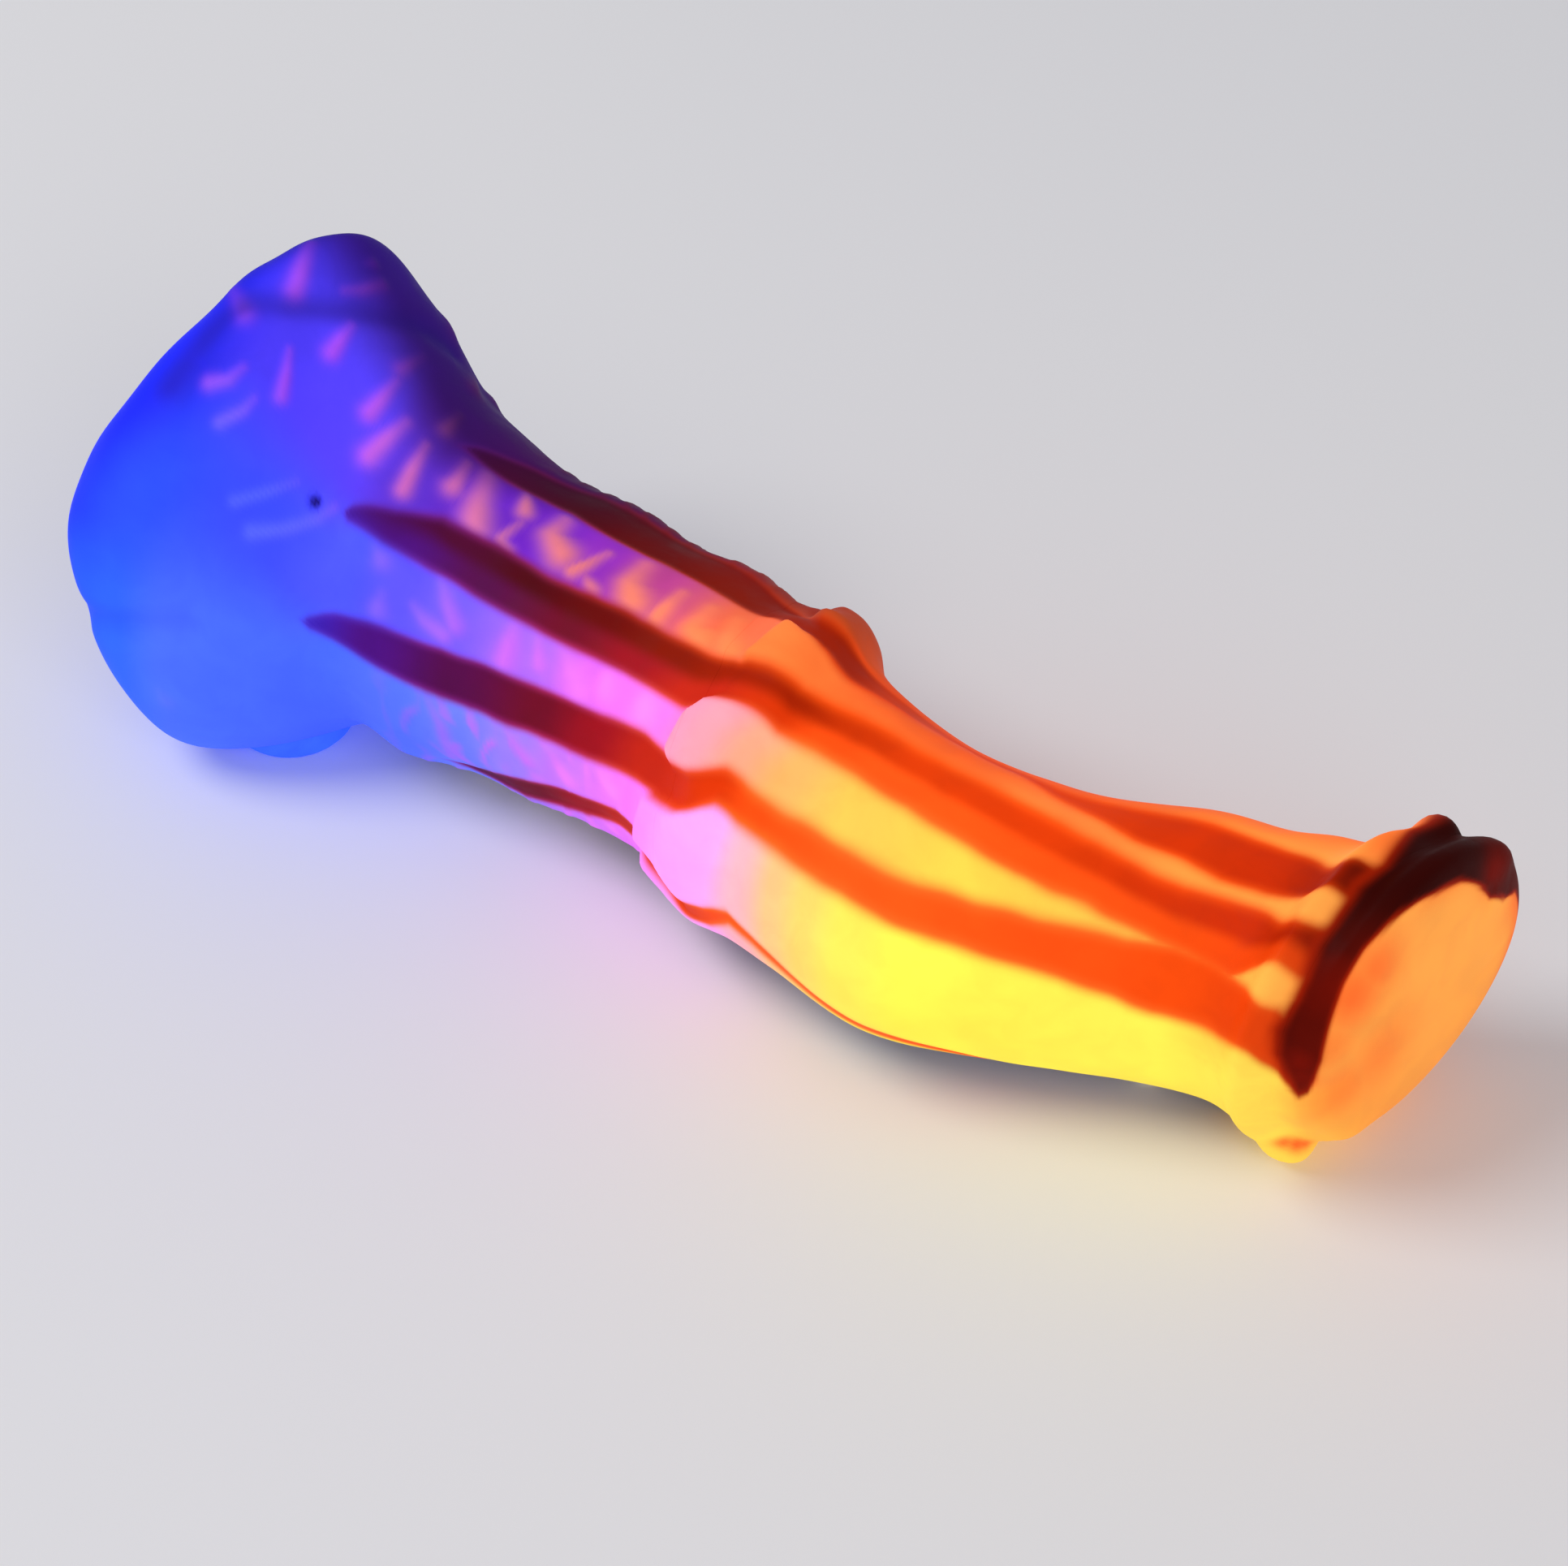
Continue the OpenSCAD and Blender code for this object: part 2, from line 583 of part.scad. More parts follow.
// Bracket that clamps on the head's post and carries the blue lamp
module lamp_bracket() {
  p = post_places[0];
  color("gainsboro") difference() {
    union() {
      translate([bracket_x, blue_y - 9, blue_z - 12]) cube([bracket_t, 18, 24]);
      translate([p[0], p[1], blue_z - 5]) cylinder(r = post_r + 2, h = 10);
      translate([bracket_x + 1, p[1] - 2, blue_z - 5]) cube([p[0] - bracket_x - 2, 4, 10]);
    }
    translate([p[0], p[1], blue_z - 13]) cylinder(r = post_r + 0.1, h = 26);
  }
}

// Round board behind the blue lamps
module blue_lamp_board() {
  color("white") translate([bracket_x, blue_y, blue_z]) rotate([0, -90, 0])
    cylinder(r = blue_board_r, h = board_t);
}

// Domed lamp standing on z = 0
module lamp() {
  rotate_extrude() {
    square([lamp_r, lamp_r]);
    translate([0, lamp_r]) intersection() {
      circle(lamp_r);
      square(lamp_r);
    }
  }
}

// Blue lamps in the head
module blue_lamps() {
  color("deepskyblue") for (a = [0:120:240])
    translate([bracket_x - board_t, blue_y, blue_z]) rotate([0, -90, 0]) rotate(a)
      translate([blue_board_r * 0.5, 0, 0]) lamp();
}

// Milky dome over the blue lamps
module blue_diffuser() {
  r = blue_board_r + 0.1 + diffuser_t;
  color("aliceblue") translate([bracket_x - 0.1, blue_y, blue_z]) rotate([0, -90, 0])
    rotate_extrude() difference() {
      union() {
        square([r, board_t + 2]);
        translate([0, board_t + 2]) intersection() {
          circle(r);
          square(r);
        }
      }
      square([r - diffuser_t, board_t + 2]);
      translate([0, board_t + 2]) intersection() {
        circle(r - diffuser_t);
        square(r);
      }
      translate([-1, -1]) square([r - diffuser_t + 1, 2]);
    }
}

// Cable from the blue lamps to the key board
module blue_lamp_wires() {
  start = bracket_x + bracket_t + wire_d / 2 + 0.1;
  color("blue") wire([[start, blue_y + 5.4, blue_z - 7], [start, blue_y + 5.4, blue_z - 13],
    head_post + [-2, 5.2, 19.5], head_post + [2, 5.1, 15.6],
    [wire_end_x, dial_y + 3.9, board_top + wire_d / 2 + 0.1]]);
}

baffle_y = -3.2;
baffle_z = 26.5;
baffle_r = 18;
baffle_t = 1.5;

// Bulkhead that keeps the blue and the amber light apart
module light_baffle() {
  color("white") difference() {
    translate([baffle_x, baffle_y, baffle_z]) rotate([0, 90, 0]) cylinder(r = baffle_r, h = baffle_t);
    translate([baffle_x - 5, -60, -20]) cube([10, 120, 20 + plate_top]);
    translate([baffle_x - 5, baffle_y - 3, plate_top - 1]) cube([10, 6, 5]);
  }
}

ringer_r = 9;

// Ring that holds the ringer on the bulkhead
module ringer_ring() {
  color("dimgray") translate([baffle_x + baffle_t, baffle_y, baffle_z + 4]) rotate([0, 90, 0])
    difference() {
      cylinder(r = ringer_r + 1.2, h = 3.6);
      translate([0, 0, -1]) cylinder(r = ringer_r - 0.8, h = 6);
      translate([0, 0, 1.2]) cylinder(r = ringer_r + 0.05, h = 6);
    }
}

// Piezo disc that rings
module ringer_disc() {
  color("gold") translate([baffle_x + baffle_t + 1.2, baffle_y, baffle_z + 4]) rotate([0, 90, 0]) {
    cylinder(r = ringer_r, h = 0.6);
    translate([0, 0, 0.6]) cylinder(r = ringer_r * 0.7, h = 0.4);
  }
}

tray_z = plate_z + door_t + 2 * door_gap + 0.1;
cell_z = tray_z + 0.3 + cell_d / 2;

// Tray that holds the cells
module battery_tray() {
  color("black") difference() {
    translate([bay_x0 + 0.1, bay_y - bay_w / 2 - 0.1, tray_z])
      cube([bay_l + 2 * tray_wall - 0.2, bay_w + 0.2, tray_top - tray_z]);
    translate([bay_x0 + tray_wall, bay_y - bay_w / 2 + tray_wall, tray_z - 1])
      cube([bay_l, bay_w - 2 * tray_wall, tray_top - tray_z - tray_wall + 1]);
    for (s = [-1, 1]) translate([bay_x0 + tray_wall, bay_y + s * cell_d / 2, cell_z])
      rotate([0, 90, 0]) cylinder(r = cell_d / 2 + 0.1, h = bay_l);
  }
}

cell_x0 = bay_x0 + tray_wall + 0.6;

// Two cells lying side by side
module battery_cells() {
  color("firebrick") for (s = [-1, 1])
    translate([cell_x0, bay_y + s * cell_d / 2, cell_z]) rotate([0, 90, 0]) {
      cylinder(r = cell_d / 2 - 0.05, h = cell_l - 1);
      cylinder(r = 1.9, h = cell_l);
    }
}

spring_l = spring_room - 1.2;
// Turns of a cell spring, so close that neighbouring turns touch
spring_turns = ceil((spring_l - 1) / (2 * spring_wire_r - 0.05) - eps);

// Coil springs behind the cells
module battery_springs() {
  color("silver") for (s = [-1, 1])
    translate([cell_x0 + cell_l + 0.1, bay_y + s * cell_d / 2, cell_z]) rotate([0, 90, 0])
      for (n = [0:spring_turns])
        translate([0, 0, spring_wire_r + n * (spring_l - 1) / spring_turns]) rotate_extrude()
          translate([3 - n * 0.4, 0]) circle(spring_wire_r, $fn = 16);
}

// Contact plates at both ends of the tray
module battery_contacts() {
  color("silver") for (x = [bay_x0 + tray_wall + 0.05, bay_x0 + tray_wall + bay_l - 0.45])
    translate([x, bay_y - bay_w / 2 + tray_wall + 0.1, cell_z - 4])
      cube([0.4, bay_w - 2 * tray_wall - 0.2, 8]);
}

// Door that slides towards the collar to open the bay
module battery_door() {
  color("midnightblue") difference() {
    union() {
      translate([bay_x0 + 0.2, bay_y - door_w / 2, plate_z]) cube([door_l, door_w, door_t]);
      translate([bay_x0 + 0.2, bay_y - door_w / 2 - door_ledge, plate_z + 0.7 + door_gap / 2])
        cube([door_l, door_w + 2 * door_ledge, door_t - 0.7 - door_gap / 2]);
    }
    for (n = [0:4]) translate([bay_x0 + door_l - 8 + n * 1.4, bay_y - 5, plate_z - 1])
      cube([0.7, 10, 1.4]);
  }
}

main_board_z = tray_top + 0.1;
main_board_x0 = bay_x0 + 2;
main_board_l = bay_l - 2;

// Board with the speech and lamp circuits, lying on the battery tray
module main_board() {
  color("darkgreen") {
    translate([main_board_x0, bay_y - 9, main_board_z]) cube([main_board_l, 18, board_t]);
    for (x = [6:11:main_board_l - 6]) translate([main_board_x0 + x, bay_y - 4.6, main_board_z + board_t])
      block(5, 2.4, 1.2);
  }
}

amber_z = main_board_z + board_t;

// Row of amber lamps on the main board
module amber_lamps_row() {
  pitch = (main_board_l - 10) / (amber_lamps - 1);
  color("gold") for (n = [0:amber_lamps - 1])
    translate([main_board_x0 + 5 + n * pitch, bay_y, amber_z]) lamp();
}

// Milky half tube over the amber lamps
module amber_diffuser() {
  r = 8.5;
  color("oldlace") translate([main_board_x0 + 0.5, bay_y, amber_z + 0.1]) rotate([90, 0, 90])
    linear_extrude(main_board_l - 1) difference() {
      circle(r);
      circle(r - diffuser_t);
      translate([-r - 1, -r - 1]) square([2 * r + 2, r + 1]);
    }
}

// Slide switch body with the slot its knob runs in
module slide_switch(y) {
  translate([switch_x, y, plate_top]) difference() {
    block(switch_body_l, 4.6, 4.4);
    translate([0, 0, -1]) block(switch_slot_l + 0.4, knob_w + 0.4, 3.5);
  }
}

// Knob of a slide switch, at the ear end of its travel
module slide_knob(y) {
  translate([switch_x - switch_travel / 2, y, plate_z - 1.2]) {
    block(3, knob_w, plate_t + 1.2 + 2.3);
    translate([0, 0, -0.3]) block(0.8, knob_w, 0.3);
  }
}

module light_switch() {
  color("dimgray") slide_switch(switch_ys[0]);
}
module light_switch_knob() {
  color("white") slide_knob(switch_ys[0]);
}
module ringer_switch() {
  color("dimgray") slide_switch(switch_ys[1]);
}
module ringer_switch_knob() {
  color("red") slide_knob(switch_ys[1]);
}

flange_rest_z = plate_top + hook_travel + 0.1;
flange_h = 1;
housing_top = flange_rest_z + flange_h + 6.5;
// Tube that guides the hook plunger and its spring
module hook_housing() {
  color("gray") translate([hook_x, hook_y, 0]) difference() {
    translate([0, 0, plate_top]) cylinder(r = housing_r, h = housing_top + 1 - plate_top);
    translate([0, 0, plate_top - 1]) cylinder(r = flange_r + 0.2, h = housing_top + 1 - plate_top);
    translate([0, 0, housing_top - 1]) cylinder(r = 1.4, h = 3);
  }
}

// Plunger that the table presses in when the phone is put down
module hook_plunger() {
  color("ivory") translate([hook_x, hook_y, 0]) {
    translate([0, 0, 1]) cylinder(r = hook_r, h = flange_rest_z - 1);
    rotate_extrude() polygon([[0, 0], [hook_r - 1, 0], [hook_r, 1], [0, 1]]);
    translate([0, 0, flange_rest_z]) cylinder(r = flange_r, h = flange_h);
    translate([0, 0, flange_rest_z]) cylinder(r = 1.2, h = housing_top + 1 - flange_rest_z);
  }
}

// Spring that pushes the hook plunger out
module hook_spring() {
  turns = 5;
  r = flange_r - hook_wire_d / 2 - 0.2;
  z0 = flange_rest_z + flange_h + hook_wire_d / 2 + 0.05;
  z1 = housing_top - hook_wire_d / 2 - 0.05;
  color("silver") translate([hook_x, hook_y, 0])
    wire([for (k = [0:14 * turns]) [r * cos(360 * k / 14), r * sin(360 * k / 14),
      z0 + (z1 - z0) * k / (14 * turns)]], hook_wire_d);
}

// Switch on top of the housing that the plunger's stem works
module hook_switch() {
  color("black") translate([hook_x + 1, hook_y, housing_top + 1]) {
    block(12.8, 5.8, 6.4);
    for (x = [-4, 0, 4]) translate([x, 0, 6.4]) block(0.6, 2, 2.5);
  }
}

// Microphone capsule
module microphone() {
  color("silver") translate([mic_x, mic_y, plate_top + 0.6]) cylinder(r = mic_r - 1, h = 5);
}

// Rubber boot around the microphone
module microphone_boot() {
  color("black") translate([mic_x, mic_y, plate_top]) difference() {
    cylinder(r = mic_r, h = 4);
    translate([0, 0, 0.6]) cylinder(r = mic_r - 1, h = 5);
    translate([0, 0, -1]) cylinder(r = mic_r - 2.2, h = 3);
  }
}

// Inlet for the line cord, with its mouth in the underside
module line_jack() {
  color("black") translate([jack_x, jack_y, plate_top]) difference() {
    block(jack_mouth_w + 2, jack_mouth_h + 2.8, 14);
    translate([0, 0, -1]) block(jack_mouth_w, jack_mouth_h, 12.5);
  }
}

// Screws from the base plate into the shells' posts
module shell_screws() {
  color("lightgray") for (p = post_places) translate([p[0], p[1], plate_z - 0.2 + 0.35])
    screw(screw_head_r, 1.25, screw_hole_r - 0.25, 10);
}

// Rubber feet pressed into the base plate
module rubber_feet() {
  color("black") for (p = foot_places) translate([p[0], p[1], 0]) {
    rotate_extrude() polygon([[0, 0], [foot_r - 0.6, 0], [foot_r, 0.6], [foot_r, plate_z],
      [0, plate_z]]);
    translate([0, 0, plate_z - eps]) cylinder(r = 1.4, h = plate_t + 1);
    translate([0, 0, plate_top + 0.1]) cylinder(r = 2, h = 1);
  }
}

head_shell();
body_shell();
end_cap();
base_plate();
dial_plate();
dial_key(0, 0);  // key_1
dial_key(0, 1);  // key_2
dial_key(0, 2);  // key_3
dial_key(1, 0);  // key_4
dial_key(1, 1);  // key_5
dial_key(1, 2);  // key_6
dial_key(2, 0);  // key_7
dial_key(2, 1);  // key_8
dial_key(2, 2);  // key_9
dial_key(3, 0);  // key_star
dial_key(3, 1);  // key_0
dial_key(3, 2);  // key_hash
key_membrane();
key_board();
board_screws();
ear_ring();
ear_grille();
receiver_holder();
receiver_capsule();
receiver_wires();
handle_weight();
weight_screws();
lamp_bracket();
blue_lamp_board();
blue_lamps();
blue_diffuser();
blue_lamp_wires();
light_baffle();
ringer_ring();
ringer_disc();
battery_tray();
battery_cells();
battery_springs();
battery_contacts();
battery_door();
main_board();
amber_lamps_row();
amber_diffuser();
light_switch();
light_switch_knob();
ringer_switch();
ringer_switch_knob();
hook_housing();
hook_plunger();
hook_spring();
hook_switch();
microphone();
microphone_boot();
line_jack();
shell_screws();
rubber_feet();
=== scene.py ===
import math

import bpy
import numpy as np
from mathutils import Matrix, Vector, kdtree


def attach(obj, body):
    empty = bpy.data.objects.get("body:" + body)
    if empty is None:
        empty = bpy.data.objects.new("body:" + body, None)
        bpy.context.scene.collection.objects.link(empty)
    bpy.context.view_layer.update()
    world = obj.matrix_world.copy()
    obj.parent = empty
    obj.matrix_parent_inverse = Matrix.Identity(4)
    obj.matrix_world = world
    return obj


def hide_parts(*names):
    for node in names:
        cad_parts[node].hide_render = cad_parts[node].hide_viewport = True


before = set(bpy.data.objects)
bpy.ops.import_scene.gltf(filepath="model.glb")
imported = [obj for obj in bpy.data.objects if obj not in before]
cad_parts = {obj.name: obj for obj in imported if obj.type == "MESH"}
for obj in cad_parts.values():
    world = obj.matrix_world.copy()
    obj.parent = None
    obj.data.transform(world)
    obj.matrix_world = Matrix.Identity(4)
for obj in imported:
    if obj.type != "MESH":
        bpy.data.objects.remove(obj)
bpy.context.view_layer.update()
MM = 0.001

# ---------------------------------------------------------------- camera
CAM_AZIMUTH, CAM_ELEVATION = 29.0, 45.0
CAM_DISTANCE = 0.620
CAM_TARGET = Vector((5.5, -3.5, 26.0)) * MM
CAM_LENS, CAM_SENSOR = 86.65, 36.0
CAM_CLIP = 0.01, 20.0

az, el = math.radians(CAM_AZIMUTH), math.radians(CAM_ELEVATION)
back = Vector((math.sin(az) * math.cos(el), -math.cos(az) * math.cos(el), math.sin(el)))
cam_data = bpy.data.cameras.new("camera")
cam_data.lens, cam_data.sensor_width = CAM_LENS, CAM_SENSOR
cam_data.clip_start, cam_data.clip_end = CAM_CLIP
camera = bpy.data.objects.new("camera", cam_data)
camera.location = CAM_TARGET + back * CAM_DISTANCE
camera.rotation_mode = "QUATERNION"
camera.rotation_quaternion = (-back).to_track_quat("-Z", "Y")
bpy.context.scene.collection.objects.link(camera)
bpy.context.scene.camera = camera
bpy.context.scene.view_settings.view_transform = "Standard"

# ---------------------------------------------------------------- the sculpted form
# Sections from the nose of the head to the end of the base, in millimetres: x, y and z
# of the centre; reach up, down, towards -Y and towards +Y; shift in x per mm of y and
# of z; shift in y per mm of z. A place on the form is (u, a): u counts sections, a is
# the angle in degrees from +Y over the top.
SECTIONS = np.array([
    [-122.5, -16.5, 45, 1, 1, 1, 1, 0, 0, 0.2],
    [-121.5, -16, 45, 10, 12, 8, 11, 0, 0, 0.2],
    [-117.5, -13.5, 44.5, 19, 20.5, 14.5, 20, 0, 0, 0.25],
    [-111.5, -9, 43.5, 28, 32.5, 21, 27, 0, 0, 0.3],
    [-102.5, -2.5, 43.5, 36, 41, 26.5, 30.5, 0, 0, 0.38],
    [-93.5, 2.5, 43, 39.5, 42, 29, 30.5, 0.05, -0.05, 0.42],
    [-83.5, 5.5, 40, 36, 37, 29, 27, 0.1, -0.1, 0.38],
    [-74.5, 6.5, 34, 33, 28, 27, 26, 0.1, -0.1, 0.3],
    [-68.5, 6.5, 31, 31, 25, 26, 26, 0.1, -0.05, 0.2],
    [-56.5, 6, 28, 28, 24.5, 25.5, 25.5, 0.05, 0, 0.1],
    [-39.5, 5.5, 27, 26, 24.5, 24.5, 25, 0, 0, 0],
    [-19.5, 2.5, 26.5, 26, 24.5, 23.5, 25.5, 0, 0, 0],
    [-5.5, -1.5, 26.5, 26.5, 25, 24, 26.5, 0, 0, 0],
    [1.5, -3, 27.5, 27.5, 27.5, 28, 28, 0, 0, 0],
    [8.5, -4.5, 27.5, 27.5, 27, 27.5, 27, 0, 0, 0],
    [17.5, -8.5, 26.5, 25, 26, 25, 24.5, 0, 0, 0],
    [35.5, -13.5, 25.5, 24.5, 25, 24, 24, 0, 0, 0],
    [53.5, -11.5, 25, 23, 24, 22.5, 22.5, 0, 0, 0],
    [67.5, -7.5, 24.5, 22.5, 23, 22, 22, 0, 0, 0],
    [80.5, -4.5, 25, 22.5, 22.5, 22, 22, 0.1, 0, 0],
    [92.5, -3.5, 26, 23, 23, 21.5, 22.5, 0.2, 0, 0],
    [99.5, -3, 27, 24.5, 25, 23.5, 24, 0.25, -0.05, 0],
    [104, -2.5, 28, 29, 27.5, 26.5, 27.5, 0.25, -0.05, 0],
    [108.5, -2, 28, 26.5, 24, 24, 27, 0.25, -0.05, 0],
    [112.5, -1.5, 28, 28, 22.5, 23.5, 28.5, 0.25, -0.05, 0],
    [115.5, -1.5, 28, 26, 20, 21.5, 26.5, 0.25, -0.05, 0],
    [117.5, -1.5, 28, 15, 13, 13, 15.5, 0.25, -0.05, 0],
    [118, -1.5, 28, 1, 1, 1, 1, 0.25, -0.05, 0]], float)
LAST = len(SECTIONS) - 1
# The solids' seams and spigot ends as places, then their walls and gaps in millimetres
COLLAR_SEAM, HEAD_SPIGOT_END = 12.2, 13.6
BASE_SEAM, BASE_SPIGOT_END = 23.0, 21.8
WALL, SPIGOT_GAP, SEAM = 2.6, 0.3, 0.005
# The base plate: underside, thickness, ends and gap; the ear bore: middle, radius, seat
PLATE_Z, PLATE_T, PLATE_X0, PLATE_X1, PLATE_GAP = 8.0, 2.5, -68.0, 95.0, 0.3
EAR_X, EAR_Y, EAR_BORE_R, EAR_SEAT_Z, EAR_FLANGE = -91.0, -8.5, 11.3, 9.5, 2.0
THINNEST = 0.4


def section(u):
    """The section at place u, on a smooth curve through SECTIONS."""
    u = np.asarray(u, float)
    i = np.clip(np.floor(u), 0, LAST - 1).astype(int)
    t = (u - i)[..., None]
    p0, p1 = SECTIONS[np.clip(i - 1, 0, LAST)], SECTIONS[i]
    p2, p3 = SECTIONS[i + 1], SECTIONS[np.clip(i + 2, 0, LAST)]
    return 0.5 * (2 * p1 + (p2 - p0) * t + (2 * p0 - 5 * p1 + 4 * p2 - p3) * t * t
                  + (3 * p1 - p0 - 3 * p2 + p3) * t ** 3)


def surface(u, a, inset=0.0):
    """Points in millimetres at places u and angles a, moved in by inset."""
    s = section(u)
    c, n = np.cos(np.radians(a)), np.sin(np.radians(a))
    y = np.maximum(THINNEST, np.where(c > 0, s[..., 6], s[..., 5]) - inset) * c
    z = np.maximum(THINNEST, np.where(n > 0, s[..., 3], s[..., 4]) - inset) * n
    return np.stack([s[..., 0] + s[..., 7] * y + s[..., 8] * z,
                     s[..., 1] + y + s[..., 9] * z, s[..., 2] + z], -1)


def outward(u, a):
    """Unit normals of the smooth form."""
    step_u, step_a = 0.01, 0.3
    du = surface(u + step_u, a) - surface(u - step_u, a)
    da = surface(u, a + step_a) - surface(u, a - step_a)
    n = np.cross(da, du)
    return n / (np.linalg.norm(n, axis=-1, keepdims=True) + 1e-12)


def smooth(x):
    """Rises from 0 at x = 0 to 1 at x = 1, level at both ends."""
    x = np.clip(x, 0, 1)
    return x * x * (3 - 2 * x)


def rise(x, start, width):
    """From 0 at x = start to 1 at x = start + width."""
    return smooth((x - start) / width)


def fall(x, start, width):
    """From 1 at x = start to 0 at x = start + width."""
    return 1 - rise(x, start, width)


def turned(a, b):
    """Smallest angle from b to a, in degrees."""
    return (a - b + 180) % 360 - 180


def from_below(a):
    """The angle counted from -90, straight down, to 270."""
    return (a + 90) % 360 - 90


NOISE_ROWS = 256


def value_noise(x, y, wrap, seed):
    """Smooth noise from 0 to 1 over x and y; y repeats after wrap cells."""
    table = np.random.default_rng(seed).random((NOISE_ROWS, wrap))
    xi, yi = np.floor(x).astype(int), np.floor(y).astype(int)
    fx, fy = smooth(x - xi), smooth(y - yi)

    def cell(i, j):
        return table[i % NOISE_ROWS, j % wrap]

    top = cell(xi, yi) * (1 - fx) + cell(xi + 1, yi) * fx
    low = cell(xi, yi + 1) * (1 - fx) + cell(xi + 1, yi + 1) * fx
    return top * (1 - fy) + low * fy


def cell_noise(x, a, mm, degrees, seed):
    """Noise in cells of so many mm along the form and degrees round it."""
    return value_noise(x / mm, (a % 360) / degrees, round(360 / degrees), seed)


# Length along the form at each place, in millimetres: RUN is the mean of eight lines
# from end to end, LONGEST takes the longest step of the eight each time
FINE = np.linspace(0, LAST, 100 * LAST + 1)
EIGHTS = np.arange(0, 360, 45.0)
strides = np.linalg.norm(np.diff(surface(FINE[:, None], EIGHTS[None]), axis=0), axis=-1)
RUN = np.concatenate([[0], np.cumsum(strides.mean(1))])
LONGEST = np.concatenate([[0], np.cumsum(strides.max(1))])


def run(u):
    """Millimetres along the form at place u."""
    return np.interp(u, FINE, RUN)


def even_places(u0, u1, step):
    """Places from u0 to u1 about step millimetres apart where they spread most."""
    l0, l1 = np.interp([u0, u1], FINE, LONGEST)
    count = max(2, math.ceil((l1 - l0) / step))
    return np.interp(np.linspace(l0, l1, count + 1), LONGEST, FINE)


# Dark stripes, each as rows of place, angle and half width in millimetres
STRIPES = {
    "crest": [(8.2, 96, -2), (8.6, 86, 1.4), (9.1, 77, 3.6), (9.8, 65, 5.4), (10.6, 64, 5.8),
        (11.6, 62, 5.6), (12.5, 63, 4.8), (13.0, 66, 4.2), (13.6, 70, 3.8), (14.1, 68, 4.2),
        (14.8, 60, 4.8), (15.4, 51, 3.8), (16.0, 47, 2.6), (16.6, 52, 2.4), (17.0, 62, 2.6),
        (17.5, 68, 3.2), (18.1, 75, 4.8), (18.7, 80, 5.2), (19.3, 86, 5.4), (20.0, 89, 5.2),
        (20.9, 94, 3.8), (21.8, 99, 3.0), (22.6, 97, 3.4), (23.6, 95, 3), (24.2, 95, -2)],
    "upper": [(7.2, 140, -2), (7.6, 137, 1.0), (8.3, 130, 2.6), (8.8, 123, 4.0), (9.4, 120, 4.4),
        (10.2, 119, 4.5), (11.1, 118, 4.6), (11.9, 115, 4.8), (12.5, 109, 3.6), (13.2, 107, 3.6),
        (13.8, 106, 3.8), (14.4, 104, 4.4), (15.0, 97, 4.7), (15.5, 91, 5.5), (16.0, 89, 6.0),
        (16.5, 92, 6.2), (17.0, 98, 6.0), (17.5, 104, 5.5), (18.0, 110, 4.9), (18.5, 116, 4.6),
        (19.0, 121, 4.8), (19.6, 124, 5.4), (20.3, 127, 5.8), (21.0, 126, 4.2), (21.6, 126, 3.4),
        (22.2, 127, 3.2), (22.8, 128, 3.9), (23.6, 128, 3), (24.2, 128, -2)],
    "lower": [(6.7, 175, -2), (7.1, 173, 0.8), (7.8, 169, 2.0), (8.6, 165, 3.4), (9.3, 162, 4.2),
        (10.1, 160, 4.3), (10.9, 157, 4.2), (11.5, 153, 4.2), (12.1, 153, 3.4), (12.8, 149, 3.2),
        (13.7, 141, 2.8), (14.3, 142, 3.0), (15.0, 140, 3.0), (15.8, 137, 3.3), (16.6, 139, 3.7),
        (17.6, 142, 4.0), (18.6, 146, 4.8), (19.3, 148, 5.9), (20.3, 152, 4.8), (21.2, 154, 4.6),
        (21.8, 156, 4.3), (22.3, 158, 4.0), (22.7, 160, 4.6), (23.1, 164, 4.0), (23.6, 172, 3.0),
        (24.0, 176, 2.0), (24.3, 178, -2)],
    "belly": [(9.0, 212, -2), (9.6, 212, 1.6), (10.1, 206, 3.0), (10.6, 198, 3.2),
        (11.2, 190, 2.6), (12.0, 196, 2.6), (12.8, 202, 3.0), (13.6, 200, 3.2), (14.3, 190, 1.6),
        (14.8, 194, 1.2), (15.6, 206, 1.4), (17.5, 226, 2.2), (20, 236, 2.0), (21.4, 239, -2)],
    "back": [(8.4, 20, -2), (9.0, 16, 1.2), (10, 12, 3.0), (12, 8, 3.2), (13, 10, 2.6),
        (15, 0, 3), (17.5, 2, 3.4), (20, 20, 3.4), (22.4, 34, 3), (23.6, 40, 3), (24.4, 42, -2)],
    "back_low": [(8.2, -18, -2), (8.8, -20, 1.2), (10, -24, 3.0), (12, -26, 3.2), (13, -28, 2.6),
        (15, -34, 3), (17.5, -32, 3), (20, -22, 3), (22.6, -12, 3), (24, -6, -2)],
    "far_foot": [(8.6, -56, -2), (9.2, -58, 1.2), (11, -60, 2.4), (13, -60, 2.4), (16, -60, 2.4),
        (20, -60, 2.4), (22.4, -58, 2.0), (23.4, -56, -2)]}
